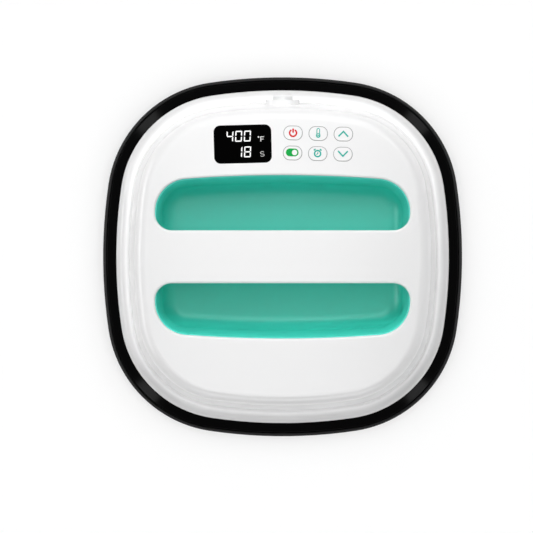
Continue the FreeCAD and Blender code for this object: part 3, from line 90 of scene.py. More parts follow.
# What passes through the blanket: the middle and radius of each round hole, and the sensors' bay.
POST_HOLES = [(-74.0, -45.0, 5.0), (-74.0, 45.0, 5.0), (74.0, -45.0, 5.0), (74.0, 45.0, 5.0),
              (0.0, 75.0, 5.0), (0.0, -25.0, 5.0)]
TERMINAL_HOLES = [(x, -100.0, 4.6) for x in (-9.8, 9.8)]
SCREW_HOLES = [(x, y, 3.45) for x in (-60.0, 60.0) for y in (-30.0, 30.0)]
BAY_MIDDLE = 26.0
BAY_HALF_LENGTH = 31.6
BAY_HALF_WIDTH = 13.6
BAY_ROUND = 4.6

# Flat work let into the window and the keys: its underside, its thickness and the step between its layers.
INLAY_LEVEL = -0.05
INLAY_THICK = 0.09
INLAY_STEP = 0.01

# The readout: the window's middle and turn, then each row's figures and the place of its first one.
DISPLAY_PLACE = (-32.0, 90.4, 1.46)
READOUT_ROWS = (("400", -13.15, 2.0), ("18", -6.3, -10.7))
DIGIT_PITCH = 7.02
DIGIT_WIDTH = 5.45
DIGIT_HEIGHT = 8.75
DIGIT_STROKE = 0.92
DIGIT_LEAN = 0.07
DIGIT_SEGMENTS = {"4": "fgbc", "0": "abcdef", "1": "bc", "8": "abcdefg"}
LETTER_F = [(0, 0), (0.6, 0), (0.6, 1.6), (2.5, 1.6), (2.5, 2.1), (0.6, 2.1), (0.6, 3.45), (2.9, 3.45),
            (2.9, 4.0), (0, 4.0)]
LETTER_F_PLACE = (14.3, 1.75)
DEGREE_RADIUS = 0.62
DEGREE_PLACE = (12.8, 5.4)
LETTER_S_RADIUS = 0.95
LETTER_S_WIDTH = 1.6
LETTER_S_STROKE = 0.31
LETTER_S_PLACE = (15.5, -10.2)

# The keys' signs: how far they are turned and how far the keys stand above the crown.
KEY_TURN = -1.4
KEY_STAND = 0.5

# Painted light and shade along a piece, in its colour: on the shell a painted highlight along the lip's
# valley and painted shade on its outer lip, in the basin painted shade near the grip and painted light
# towards its front and back walls. Each row gives the axis, where the band starts and how long it is, the
# shares of the colour at tone 0 and tone 1, and the stops, each with its share of the way and its tone.
LIP_PAINTED_HIGHLIGHT_AND_SHADE = ("Z", LIP_TOP - 4.0, 8.0, (0.85, 1.20),
             ((0.0, 0.09), (0.30, 0.06), (0.39, 0.13), (0.455, 0.36), (0.49, 0.62), (0.5, 1.0),
              (0.535, 0.78), (0.62, 0.43)))
# Painted shade on the basin beside the grip bar and painted light towards its front and back walls.
BASIN_PAINTED_SHADE_AND_LIGHT = ("Y", -100.0, 200.0, (0.80, 1.20),
               ((0.19, 0.7), (0.234, 0.75), (0.252, 0.4), (0.274, 0.3), (0.387, 0.275),
                (0.611, 0.15), (0.66, 0.225), (0.7, 0.387), (0.76, 0.45), (0.82, 0.6)))

# The stage, in metres: the picture's dots and how much each takes in, the camera's height, the floor's size,
# level and share of plain white in what is seen of it, and the sky's light from the horizon up.
PICTURE_DOTS = 533
METRES_PER_DOT = 0.0008022
CAMERA_HEIGHT = 1.5
FLOOR_RADIUS = 6.0
FLOOR_LEVEL = -0.0002
FLOOR_GLOW = 0.6
SKY_TONES = ((0.0, 1.26), (1.0, 0.06))

# Key lamps light the surfaces, and softboxes show only in their gloss. Most aim at the middle of the press.
# Each row is a name, a place, a width, a depth and a radiance.
AIM = (0.0, 0.0, 0.05)
KEY_LAMPS = (
    ("steep back key", (0.0, 0.6, 2.0), 0.8, 0.8, 0.8),
    ("high back key", (0.0, 1.15, 1.69), 1.0, 0.8, 6.7),
    ("high front key", (0.0, -1.15, 1.69), 0.8, 0.8, 1.1),
    ("low back key", (0.0, 1.45, 0.73), 1.4, 0.45, 1.6),
    ("low left key", (-1.45, 0.0, 0.73), 1.4, 0.45, 1.5),
)
FLOOR_WASH = ("floor wash", (0.0, 0.0, 2.3), 1.6, 1.6, 4.7)
TOP_SOFTBOXES = (
    ("zenith softbox", (-0.03, 0.04, 1.3), 0.42, 0.90, 3.5),
    ("left top softbox", (-0.58, 0.0, 1.3), 0.56, 0.90, 1.7),
    ("right top softbox", (0.41, 0.0, 1.3), 0.20, 0.90, 2.6),
    ("front top softbox", (0.0, -0.66, 1.3), 0.92, 0.46, 3.8),
)
SIDE_SOFTBOXES = (
    ("low front softbox", (0.0, -1.35, 0.62), 1.5, 0.6, 3.0),
    ("back softbox", (0.0, 1.05, 1.25), 1.5, 1.7, 3.0),
    ("left softbox", (-1.38, 0.0, 0.70), 1.5, 0.40, 6.0),
)
RECESS_SHEEN = ("recess sheen", (0.0, 0.0, 1.3), 0.9, 0.9, 1.0)
CORNER_STRIP_HEIGHT = 0.14
CORNER_STRIP = (0.30, 0.24, 20.0)

press_finishes_by_slot = {}


def colour_size(name, description, default):
    """A colour that the sidebar shows."""
    return FloatVectorProperty(name=name, description=description, subtype="COLOR", size=3, min=0.0, max=1.0,
                               default=default)


def length_size(name, description, default):
    """A length that the sidebar shows."""
    return FloatProperty(name=name, description=description, unit="LENGTH", default=default, precision=5)


class PressColours(bpy.types.PropertyGroup):
    """The colours of the press that a user would change"""
    shell: colour_size("Shell", "Gloss white of the top shell and the keys", (0.760, 0.760, 0.763))
    basin: colour_size("Basin", "Green of the hand basin", (0.075, 0.740, 0.620))
    skirt: colour_size("Skirt", "Gloss black of the lower skirt", (0.0010, 0.0010, 0.0011))
    stand: colour_size("Stand", "Dark grey of the stand's tray", (0.019, 0.019, 0.0195))


class PressStage(bpy.types.PropertyGroup):
    """What the camera takes in and what the press stands on"""
    frame_width: length_size("Frame width", "How much the square picture takes in",
                             PICTURE_DOTS * METRES_PER_DOT)
    centre_x: length_size("Centre X", "Where the camera looks, across", -0.0129)
    centre_y: length_size("Centre Y", "Where the camera looks, along", -0.0078)
    floor_colour: colour_size("Floor", "Pale floor under the press", (0.96, 0.96, 0.96))


class Term:
    """A shader socket that Python's arithmetic works on; each operation adds a Math node."""

    def __init__(self, finish, socket):
        self.finish = finish
        self.socket = socket

    def maths(self, operation, *others):
        """This value and the others through one Math node."""
        values = {number: other for number, other in enumerate((self,) + others)}
        return self.finish.add("ShaderNodeMath", {"operation": operation}, values)

    def __add__(self, other):
        return self.maths("ADD", other)

    def __mul__(self, other):
        return self.maths("MULTIPLY", other)

    def __sub__(self, other):
        return self.maths("SUBTRACT", other)

    def __rsub__(self, other):
        return self.maths("MULTIPLY", -1.0) + other

    def __gt__(self, other):
        return self.maths("GREATER_THAN", other)

    def __lt__(self, other):
        return self.maths("LESS_THAN", other)

    __radd__ = __add__
    __rmul__ = __mul__

    def maximum(self, other):
        return self.maths("MAXIMUM", other)

    def sine(self):
        return self.maths("SINE")

    def absolute(self):
        return self.maths("ABSOLUTE")

    def ramp(self, *stops):
        """The value sent through a ramp of (position, colour or grey) stops."""
        return self.finish.add("ShaderNodeValToRGB", {"stops": stops}, {"Fac": self})


class Finish:
    """One procedural material on Object coordinates."""
    output = "ShaderNodeOutputMaterial"

    def __init__(self, name):
        self.material = bpy.data.materials.new(name)
        self.material.use_nodes = True
        self.tree = self.material.node_tree
        self.tree.nodes.clear()
        self.places = self.add("ShaderNodeTexCoord", {}, {}, "Object")

    def add(self, kind, settings, values, output=0):
        """A node of a kind, with its settings made first and then its sockets' values or links."""
        item = self.tree.nodes.new(kind)
        for key, setting in settings.items():
            if key == "stops":
                self.set_stops(item.color_ramp, setting)
            else:
                setattr(item, key, setting)
        for key, given in values.items():
            if isinstance(given, Term):
                self.tree.links.new(given.socket, item.inputs[key])
            else:
                item.inputs[key].default_value = given
        return Term(self, item.outputs[output])

    @staticmethod
    def set_stops(ramp, stops):
        """Gives a new colour ramp its stops, in order."""
        while len(ramp.elements) < len(stops):
            ramp.elements.new(1.0)
        for element, (position, colour) in zip(ramp.elements, stops):
            element.position = position
            element.color = (*colour, 1.0) if isinstance(colour, tuple) else (colour, colour, colour, 1.0)

    def stretched(self, scale, turn=(0.0, 0.0, 0.0)):
        """Object coordinates, scaled or turned for a pattern that has a direction."""
        return self.add("ShaderNodeMapping", {}, {"Vector": self.places, "Scale": scale, "Rotation": turn})

    def noise(self, scale, detail=2.0, roughness=0.5, at=None):
        """Cloudy values from 0 to 1, with a feature about every 1 / scale metres."""
        values = {"Vector": at or self.places, "Scale": scale, "Detail": detail, "Roughness": roughness}
        return self.add("ShaderNodeTexNoise", {}, values)

    def cells(self, scale, output="Distance"):
        """Cells strewn about every 1 / scale metres: the distance to the nearest, or its own colour."""
        return self.add("ShaderNodeTexVoronoi", {}, {"Vector": self.places, "Scale": scale}, output)

    def axis(self, name):
        """One axis of the Object coordinates, in metres."""
        return self.add("ShaderNodeSeparateXYZ", {}, {"Vector": self.places}, name)

    def blend(self, amount, first, second):
        """From the first colour to the second, as far as the amount says."""
        values = {0: amount, 6: opaque(first), 7: opaque(second)}
        return self.add("ShaderNodeMix", {"data_type": "RGBA"}, values, 2)

    def painted_light_band(self, colour, axis, start, length, ends, stops):
        """Painted light and shade: a colour that turns darker and paler along an axis, in a band given in
        millimetres.
        """
        share = (self.axis(axis) * (1.0 / MM) - start) * (1.0 / length)
        return self.blend(share.ramp(*stops), shade(colour, ends[0]), shade(colour, ends[1]))

    def mottled(self, colour, scale, detail, mottle):
        """A colour with faint clouds, darker and paler by the mottle."""
        return self.blend(self.noise(scale, detail), shade(colour, 1.0 - mottle), shade(colour, 1.0 + mottle))

    def bump(self, height, distance):
        """A relief as deep as the distance, for a height from 0 to 1."""
        return self.add("ShaderNodeBump", {}, {"Height": height, "Distance": distance, "Strength": 1.0})

    def surface(self, **sockets):
        """Ends the material in a Principled surface with these sockets, and returns the material."""
        values = {key.replace("_", " "): opaque(given) for key, given in sockets.items()}
        shader = self.add("ShaderNodeBsdfPrincipled", {}, values)
        self.finish_with(shader)
        return self.material

    def seen(self):
        """1 for a ray of the camera or of a reflection or glass, and 0 for a ray that only carries light."""
        camera, gloss, glass = (self.add("ShaderNodeLightPath", {}, {}, "Is %s Ray" % kind)
                                for kind in ("Camera", "Glossy", "Transmission"))
        return camera.maximum(gloss).maximum(glass)

    def finish_with(self, shader):
        """Ends the nodes in this shader."""
        output = self.tree.nodes.new(self.output)
        self.tree.links.new(shader.socket, output.inputs["Surface"])


class Sky(Finish):
    """The world's light, on the direction of a ray."""
    output = "ShaderNodeOutputWorld"

    def __init__(self, name):
        self.world = bpy.data.worlds.new(name)
        self.world.use_nodes = True
        self.tree = self.world.node_tree
        self.tree.nodes.clear()
        self.places = self.add("ShaderNodeTexCoord", {}, {}, "Generated")


def opaque(colour):
    """A colour of three parts with its alpha added, and anything else as it is."""
    return (*colour, 1.0) if isinstance(colour, tuple) and len(colour) == 3 else colour


def shade(colour, share):
    """A colour made darker or lighter by a share."""
    return tuple(min(1.0, part * share) for part in colour)


def moulded(name, colour, roughness, grain=2500.0, depth=10 * MICRON, mottle=0.03, wear=0.06, specular=0.5,
            painted_light=()):
    """Moulded plastic or rubber: a fine grain, rubbed patches, and faint mottling or painted light and shade
    along one axis.
    """
    finish = Finish(name)
    fine = finish.noise(grain, 2.0, 0.6)
    rubbed = finish.noise(55.0, 4.0, 0.65)
    # Where given, painted light and shade along one axis take the place of the mottling.
    tint = finish.painted_light_band(colour, *painted_light) if painted_light else finish.mottled(colour, 18.0, 3.0, mottle)
    rough = (rubbed - 0.5) * (2 * wear) + (fine - 0.5) * 0.04 + roughness
    return finish.surface(Base_Color=tint, Roughness=rough, Specular_IOR_Level=specular,
                          Normal=finish.bump(fine, depth))


def glossy(name, colour, roughness, peel=0.6 * MICRON, mottle=0.01, specular=0.5, painted_light=()):
    """High-gloss plastic: a faint flow waviness, smears that change only its gloss, and mottling or painted
    light and shade along one axis.
    """
    finish = Finish(name)
    flow = finish.noise(140.0, 2.0, 0.4)
    smear = finish.noise(30.0, 5.0, 0.6, at=finish.stretched((1.0, 3.0, 1.0), (0.0, 0.0, 0.5)))
    specks = finish.noise(900.0, 1.0).ramp((0.70, 0.0), (0.78, 1.0))
    # Where given, painted light and shade along one axis take the place of the mottling.
    tint = finish.painted_light_band(colour, *painted_light) if painted_light else finish.mottled(colour, 9.0, 2.0, mottle)
    rough = smear * 0.04 + specks * 0.05 + roughness
    return finish.surface(Base_Color=tint, Roughness=rough, Specular_IOR_Level=specular,
                          Normal=finish.bump(flow, peel))


def key_finish(name, colour):
    """A pale key face over a skirt with painted shade: the colour darkens down the gap round the key."""
    finish = Finish(name)
    spread = finish.axis("X") * finish.axis("X") + finish.axis("Y") * finish.axis("Y")
    # Painted shade: below the crown the key's sides fall to a small share of its colour, so that its gap
    # reads dark.
    stand = finish.axis("Z") + spread * (0.5 / (CROWN_CURVE * MM)) - CROWN * MM
    face = (stand * (1.0 / MM)).ramp((0.0, 0.22), (0.25, 1.0))
    tint = finish.blend(face, shade(colour, 0.12), colour)
    smear = finish.noise(60.0, 4.0, 0.6)
    return finish.surface(Base_Color=tint, Roughness=smear * 0.1 + 0.20,
                          Normal=finish.bump(finish.noise(140.0, 2.0, 0.4), 1 * MICRON))


def metal(name, colour, roughness, brush=(1.0, 1.0, 1.0), brushed=0.0, tarnish=None, tarnish_share=0.0):
    """Bare metal: brush lines along one axis, roughness streaks and tarnish in clouds."""
    finish = Finish(name)
    lines = finish.noise(900.0, 3.0, 0.6, at=finish.stretched(brush))
    cloud = finish.noise(40.0, 5.0, 0.6)
    tint = finish.blend(lines, shade(colour, 0.93), shade(colour, 1.05))
    if tarnish:
        mask = cloud.ramp((0.62 - 0.3 * tarnish_share, 0.0), (0.80 - 0.2 * tarnish_share, 1.0))
        tint = finish.blend(mask, tint, tarnish)
    rough = lines * 0.16 + cloud * 0.10 + (roughness - 0.13)
    return finish.surface(Base_Color=tint, Roughness=rough, Metallic=1.0,
                          Normal=finish.bump(lines, (20 * brushed + 2) * MICRON))


def spangled(name, colour):
    """Galvanised sheet: angular crystals that catch the light differently."""
    finish = Finish(name)
    crystal = finish.cells(170.0, output="Color")
    tone = finish.add("ShaderNodeSeparateColor", {}, {"Color": crystal})
    tint = finish.blend(tone, shade(colour, 0.82), shade(colour, 1.08))
    rough = tone * 0.22 + 0.24
    return finish.surface(Base_Color=tint, Roughness=rough, Metallic=1.0,
                          Normal=finish.bump(finish.noise(600.0, 3.0), 6 * MICRON))


def coated(name, colour):
    """A baked non-stick coating with pale flecks and a slight sprayed texture."""
    finish = Finish(name)
    flecks = finish.cells(900.0).ramp((0.10, 1.0), (0.17, 0.0))
    spray = finish.noise(1600.0, 3.0, 0.6)
    tint = finish.blend(finish.noise(25.0, 4.0), shade(colour, 0.9), shade(colour, 1.12))
    tint = finish.blend(flecks * 0.35, tint, (0.35, 0.34, 0.32))
    return finish.surface(Base_Color=tint, Roughness=spray * 0.12 + 0.30,
                          Normal=finish.bump(spray, 10 * MICRON))


def board_finish(name, colour):
    """Solder mask over copper tracks that run square to each other, with plated dots."""
    finish = Finish(name)
    along = (finish.axis("X") * 900.0 + finish.noise(60.0, 0.0) * 14.0).sine() > 0.72
    across = (finish.axis("Y") * 900.0 + finish.noise(45.0, 0.0) * 14.0).sine() > 0.72
    side = finish.noise(35.0, 0.0) > 0.5
    tracks = along * side + across * (1.0 - side)
    dots = finish.cells(260.0) < 0.13
    tint = finish.blend(tracks, colour, shade(colour, 1.9))
    tint = finish.blend(dots, tint, (0.62, 0.60, 0.52))
    return finish.surface(Base_Color=tint, Roughness=dots * -0.15 + 0.38, Metallic=dots * 0.8,
                          Normal=finish.bump(tracks, 30 * MICRON))


def fibrous(name, colour, fibre=1400.0):
    """Matted mineral fibre: crossed strands, pale and dark."""
    finish = Finish(name)
    strands = finish.noise(fibre, 3.0, 0.7, at=finish.stretched((1.0, 0.12, 1.0), (0.0, 0.0, 0.6)))
    crossed = finish.noise(fibre, 3.0, 0.7, at=finish.stretched((0.12, 1.0, 1.0), (0.0, 0.0, 0.2)))
    mat = strands.maximum(crossed)
    tint = finish.blend(mat.ramp((0.35, 0.0), (0.70, 1.0)), shade(colour, 0.72), shade(colour, 1.12))
    return finish.surface(Base_Color=tint, Roughness=0.95, Specular_IOR_Level=0.2,
                          Normal=finish.bump(mat, 400 * MICRON))


def foam(name, colour):
    """Sponge silicone: a skin with small open pores."""
    finish = Finish(name)
    pores = finish.cells(1100.0).ramp((0.12, 0.0), (0.34, 1.0))
    cloud = finish.noise(30.0, 4.0)
    tint = finish.blend(cloud, shade(colour, 0.90), shade(colour, 1.10))
    tint = finish.blend(pores, shade(colour, 0.45), tint)
    return finish.surface(Base_Color=tint, Roughness=cloud * 0.1 + 0.72, Specular_IOR_Level=0.3,
                          Normal=finish.bump(pores, 150 * MICRON))


def woven(name, colour, pitch=1.1):
    """Plain-woven glass cloth under a thin coating: warp over weft, thread by thread."""
    finish = Finish(name)
    turns = math.pi / (pitch * MM)
    warp = (finish.axis("X") * turns).sine()
    weft = (finish.axis("Y") * turns).sine()
    over = (warp * weft) > 0.0
    height = over * warp.absolute() + (1.0 - over) * weft.absolute()
    slub = finish.noise(260.0, 3.0, 0.6, at=finish.stretched((1.0, 0.06, 1.0)))
    tint = finish.blend(height, shade(colour, 0.55), shade(colour, 1.08))
    tint = finish.blend(slub * 0.35, tint, shade(colour, 0.8))
    return finish.surface(Base_Color=tint, Roughness=height * -0.15 + 0.62, Sheen_Weight=0.15,
                          Normal=finish.bump(height, 220 * MICRON))


def press_finishes():
    """Every finish by the name of the record's slot that it belongs to."""
    colours = bpy.context.scene.press_colours
    shell, teal = tuple(colours.shell), tuple(colours.basin)
    return {
        # Painted highlight along the shell lip's valley and painted shade on its outer lip, in the shell's
        # colour.
        "white_shell": glossy("gloss white shell", shell, 0.18, painted_light=LIP_PAINTED_HIGHLIGHT_AND_SHADE),
        # Painted shade beside the grip and painted light towards the walls, in the basin's colour.
        "teal_basin": moulded("green basin", teal, 0.36, wear=0.04, painted_light=BASIN_PAINTED_SHADE_AND_LIGHT),
        "teal_grip": moulded("green grip", teal, 0.36, mottle=0.02, wear=0.04),
        "black_skirt": glossy("gloss black skirt", tuple(colours.skirt), 0.13, mottle=0.1, specular=0.012),
        "stand_grey": moulded("grey stand", tuple(colours.stand), 0.58, grain=1800.0, depth=30 * MICRON,
                              wear=0.08, specular=0.1),
        "silicone_pad": foam("sponge silicone", (0.30, 0.31, 0.32)),
        "woven_liner": woven("coated glass cloth", (0.42, 0.38, 0.32)),
        "rubber_feet": moulded("black rubber", (0.014, 0.014, 0.014), 0.75, grain=900.0, depth=40 * MICRON),
        "coated_plate": coated("non-stick coating", (0.045, 0.042, 0.040)),
        "element_steel": metal("nickel tube", (0.56, 0.53, 0.48), 0.38, tarnish=(0.32, 0.22, 0.13),
                               tarnish_share=0.6),
        "ceramic": moulded("ceramic bead", (0.80, 0.77, 0.70), 0.42, grain=1500.0, depth=30 * MICRON),
        "sensor_metal": metal("sensor case", (0.68, 0.68, 0.68), 0.30, tarnish=(0.40, 0.36, 0.30),
                              tarnish_share=0.3),
        "mineral_blanket": fibrous("mineral fibre", (0.72, 0.69, 0.60)),
        "shield_steel": spangled("galvanised sheet", (0.62, 0.64, 0.66)),
        "post_steel": metal("turned steel", (0.58, 0.58, 0.58), 0.32, brush=(1.0, 1.0, 8.0), brushed=1.0),
        "screw_steel": metal("plated screw", (0.66, 0.66, 0.68), 0.28, tarnish=(0.50, 0.46, 0.34),
                             tarnish_share=0.4),
        "dark_lens": glossy("dark window", (0.0005, 0.0005, 0.0005), 0.05, peel=0.5 * MICRON, mottle=0.2,
                            specular=0.01),
        "display_body": moulded("display case", (0.62, 0.63, 0.62), 0.45),
        "white_key": key_finish("white key", shell),
        "plunger": moulded("natural nylon", (0.66, 0.64, 0.56), 0.45),
        "circuit_board": board_finish("green circuit board", (0.010, 0.130, 0.055)),
        "component_black": moulded("black component", (0.016, 0.016, 0.017), 0.48, grain=2000.0,
                                   depth=20 * MICRON),
        "component_blue": moulded("blue component", (0.020, 0.085, 0.300), 0.35),
        "component_yellow": moulded("yellow tape", (0.72, 0.50, 0.06), 0.42),
        "heatsink_aluminium": metal("extruded aluminium", (0.70, 0.71, 0.72), 0.34, brush=(1.0, 1.0, 0.04),
                                    brushed=1.0),
        "terminal_green": moulded("green terminal", (0.020, 0.260, 0.080), 0.45),
        "gland_nylon": moulded("white nylon gland", (0.72, 0.73, 0.73), 0.40),
        "wire_sleeve": fibrous("glass sleeve", (0.62, 0.60, 0.54), 2200.0),
    }


class PRESS_OT_finishes(bpy.types.Operator):
    """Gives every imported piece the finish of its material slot"""
    bl_idname = "press.finishes"
    bl_label = "Finish the packed pieces"

    def execute(self, context):
        by_slot = press_finishes_by_slot
        by_slot.update(press_finishes())
        for row in frame["record"]["subparts"]:
            piece = nodes[row["node"]]
            finish = by_slot[row["material_slot"]]
            if not piece.material_slots:
                raise RuntimeError("no material slot on " + piece.name)
            for slot in piece.material_slots:
                slot.material = finish
        return {"FINISHED"}


def deselect():
    """Leaves nothing selected, since an operator acts on all that is."""
    bpy.ops.object.select_all(action="DESELECT")


def primitive(name, kind, **options):
    """A new primitive, alone in the selection and renamed."""
    deselect()
    getattr(bpy.ops.mesh, "primitive_%s_add" % kind)(**options)
    piece = bpy.context.active_object
    piece.name = name
    piece.data.name = name
    return piece


class editing:
    """Edit mode on one piece, for as long as the with block lasts."""

    def __init__(self, piece, mode="FACE"):
        self.piece = piece
        self.mode = mode

    def __enter__(self):
        deselect()
        self.piece.select_set(True)
        bpy.context.view_layer.objects.active = self.piece
        bpy.ops.object.mode_set(mode="EDIT")
        bpy.ops.mesh.select_mode(type=self.mode)
        return self

    def __exit__(self, *problem):
        bpy.ops.object.mode_set(mode="OBJECT")

    def pick(self, test, kind="faces"):
        """Selects only the faces, edges or vertices that pass a test."""
        mesh = bmesh.from_edit_mesh(self.piece.data)
        for item in [*mesh.verts, *mesh.edges, *mesh.faces]:
            item.select = False
        chosen = [item for item in getattr(mesh, kind) if test(item)]
        for item in chosen:
            item.select_set(True)
        bmesh.update_edit_mesh(self.piece.data)


def apply_modifier(piece, kind, **settings):
    """Adds a modifier with these settings and applies it."""
    deselect()
    piece.select_set(True)
    bpy.context.view_layer.objects.active = piece
    modifier = piece.modifiers.new(kind.lower(), kind)
    for name, setting in settings.items():
        setattr(modifier, name, setting)
    bpy.ops.object.modifier_apply(modifier=modifier.name)


def join(name, pieces):
    """Several meshes as one piece."""
    deselect()
    for piece in pieces:
        piece.select_set(True)
    bpy.context.view_layer.objects.active = pieces[0]
    if len(pieces) > 1:
        bpy.ops.object.join()
    whole = bpy.context.active_object
    whole.name = name
    whole.data.name = name
    return whole


def settle(piece, body, finish, sharp=35.0, replaced=()):
    """Bakes a piece's place into its mesh, shades it, and ties it to its body and its finish."""
    deselect()
    piece.select_set(True)
    bpy.context.view_layer.objects.active = piece
    bpy.ops.object.transform_apply(location=True, rotation=True, scale=True)
    bpy.ops.object.shade_smooth_by_angle(angle=math.radians(sharp))
    piece.data.materials.clear()
    piece.data.materials.append(finish)
    if replaced:
        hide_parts(*replaced)
    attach(piece, body)


def outline(inset, steps=14):
    """Points round the press's rounded square, moved in by an inset: steps on each side and corner arc."""
    back = SIDE_CURVE - HALF
    middle = (math.sqrt(2 * (SIDE_CURVE - CORNER_CURVE) ** 2 - back ** 2) - back) / 2
    joint = math.atan2(middle, middle + back)
    points = []
    for quarter in range(4):
        facing = quarter * math.pi / 2
        arcs = [(back, facing + math.pi, SIDE_CURVE, facing - joint, facing + joint),
                (middle * math.sqrt(2), facing + math.pi / 4, CORNER_CURVE, facing + joint,
                 facing + math.pi / 2 - joint)]
        for reach, way, radius, first, last in arcs:
            for step in range(steps):
                turn = first + (last - first) * step / steps
                points.append((reach * math.cos(way) + (radius - inset) * math.cos(turn),
                               reach * math.sin(way) + (radius - inset) * math.sin(turn)))
    return points


def crown_level(x, y, stand):
    """The height over a point of what stands above the crowned top, in millimetres."""
    return CROWN + stand - (x * x + y * y) / (2 * CROWN_CURVE)


def plate_of(name, points, level, thickness):
    """A flat plate with this outline: a filled circle whose corners are moved on to it, extruded up."""
    piece = primitive(name, "circle", vertices=len(points), radius=1.0, fill_type="NGON")
    mesh = piece.data
    for corner, (x, y) in zip(mesh.vertices, points):
        corner.co = (x * MM, y * MM, level * MM)
    with editing(piece):
        bpy.ops.mesh.select_all(action="SELECT")
        bpy.ops.mesh.normals_make_consistent(inside=False)
        bpy.ops.mesh.extrude_region_move(TRANSFORM_OT_translate={"value": (0.0, 0.0, thickness * MM)})
        bpy.ops.mesh.select_all(action="SELECT")
        bpy.ops.mesh.normals_make_consistent(inside=False)
    return piece


def pierced_plate(name, outer, inner, level, thickness):
    """A flat ring between two outlines with as many points each, bridged and extruded up."""
    piece = primitive(name, "circle", vertices=len(outer), radius=1.0, fill_type="NOTHING")
    with editing(piece, "EDGE"):
        bpy.ops.mesh.primitive_circle_add(vertices=len(inner), radius=0.5, fill_type="NOTHING")
        bpy.ops.mesh.select_all(action="SELECT")
        bpy.ops.mesh.bridge_edge_loops()
    for corner, (x, y) in zip(piece.data.vertices, [*outer, *inner]):
        corner.co = (x * MM, y * MM, level * MM)
    with editing(piece):
        bpy.ops.mesh.select_all(action="SELECT")
        bpy.ops.mesh.extrude_region_move(TRANSFORM_OT_translate={"value": (0.0, 0.0, thickness * MM)})
        bpy.ops.mesh.select_all(action="SELECT")
        bpy.ops.mesh.normals_make_consistent(inside=False)
    return piece


def round_points(radius, count, x=0.0, y=0.0, first=0.0, last=360.0):
    """Points on a circle or, without the full turn, on an arc that includes both ends."""
    whole = abs(last - first) >= 360.0
    steps = count if whole else count - 1
    turns = [math.radians(first + (last - first) * step / steps) for step in range(count)]
    return [(x + radius * math.cos(turn), y + radius * math.sin(turn)) for turn in turns]


def stroke(path, width):
    """The outline of a line of even width along a path, with mitred corners and square ends."""
    sides = ([], [])
    for number, (x, y) in enumerate(path):
        before = path[number - 1] if number else None
        after = path[number + 1] if number + 1 < len(path) else None
        ways = []
        for one, other in ((before, (x, y)), ((x, y), after)):
            if one and other:
                run = math.hypot(other[0] - one[0], other[1] - one[1])
                ways.append(((other[0] - one[0]) / run, (other[1] - one[1]) / run))
        way_x = sum(way[0] for way in ways) / len(ways)
        way_y = sum(way[1] for way in ways) / len(ways)
        size = way_x * way_x + way_y * way_y
        for side, sign in zip(sides, (1, -1)):
            side.append((x - sign * way_y / size * width / 2, y + sign * way_x / size * width / 2))
    return sides[0] + sides[1][::-1]


def pill_points(width, height, count, x, y):
    """Points round a lozenge with fully round ends, along X or along Y."""
    radius = min(width, height) / 2
    shift_x, shift_y = max(0.0, width / 2 - radius), max(0.0, height / 2 - radius)
    points = []
    for step in range(count):
        turn = 2 * math.pi * (step + 0.5) / count
        along, across = math.cos(turn), math.sin(turn)
        points.append((x + radius * along + math.copysign(shift_x, along),
                       y + radius * across + math.copysign(shift_y, across)))
    return points


def soft_lamp(name, place, width, depth, radiance, target=AIM, diffuse=True, gloss=True, lit=(), spared=()):
    """A soft rectangular lamp that faces a point. It may light only some pieces, or spare some."""
    bpy.ops.object.light_add(type="AREA", location=place)
    lamp = bpy.context.active_object
    lamp.name = name
    lamp.data.shape = "RECTANGLE"
    lamp.data.size = width
    lamp.data.size_y = depth
    lamp.data.energy = radiance * math.pi * width * depth
    way = Vector(target) - Vector(place)
    lamp.rotation_euler = way.to_track_quat("-Z", "Y").to_euler()
    lamp.visible_camera = False
    lamp.visible_diffuse = diffuse
    lamp.visible_glossy = gloss
    if lit or spared:
        linked = bpy.data.collections.new(name + " links")
        lamp.light_linking.receiver_collection = linked
        for piece in (*lit, *spared):
            linked.objects.link(piece)
        for row in linked.collection_objects:
            row.light_linking.link_state = "INCLUDE" if lit else "EXCLUDE"


def slab(name, inset, low, high, edge):
    """A rounded-square slab with softly rounded edges, made by a bevel of its level edges."""
    piece = plate_of(name, outline(inset), low, high - low)
    with editing(piece, "EDGE") as work:
        work.pick(lambda item: abs(item.verts[0].co.z - item.verts[1].co.z) < MICRON, "edges")
        bpy.ops.mesh.bevel(offset=edge * MM, segments=4, profile=0.6, affect="EDGES")
    return piece


class PRESS_OT_pad(bpy.types.Operator):
    """Makes the sponge silicone pad that fills the stand"""
    bl_idname = "press.pad"
    bl_label = "Stand pad"

    def execute(self, context):
        pad = slab("stand_pad_sponge", PAD_INSET, TRAY_FLOOR, PAD_TOP - PAD_SINK, PAD_EDGE)
        settle(pad, "stand", press_finishes_by_slot["silicone_pad"], replaced=["stand_pad"])
        return {"FINISHED"}


class PRESS_OT_liner(bpy.types.Operator):
    """Makes the coated glass cloth that lies on the pad"""
    bl_idname = "press.liner"
    bl_label = "Stand liner"

    def execute(self, context):
        cloth = plate_of("stand_liner_cloth", outline(LINER_INSET), PAD_TOP, LINER_THICK)
        with editing(cloth) as work:
            for ring in range(LINER_RINGS):
                work.pick(lambda face: abs(face.normal.z) > 0.9 and len(face.verts) > 50)
                bpy.ops.mesh.inset(thickness=LINER_RING_WIDTH * MM, use_even_offset=True)
        for corner in cloth.data.vertices:
            x, y = corner.co.x / MM, corner.co.y / MM
            lifted = max(0.0, math.hypot(x, y) ** 4 - LINER_FLAT ** 4) / LINER_REACH ** 4
            turn = math.atan2(y, x)
            corner.co.z += lifted * (0.5 + 0.35 * math.sin(9 * turn + 1.0) + 0.25 * math.sin(23 * turn)) * MM
        settle(cloth, "stand", press_finishes_by_slot["woven_liner"], replaced=["stand_liner"])
        plan_area(outline(LINER_INSET)) * MM * MM
        return {"FINISHED"}


def plan_area(points):
    """The area inside a closed outline."""
    pairs = zip(points, points[1:] + points[:1])
    return abs(sum(x * after_y - after_x * y for (x, y), (after_x, after_y) in pairs)) / 2


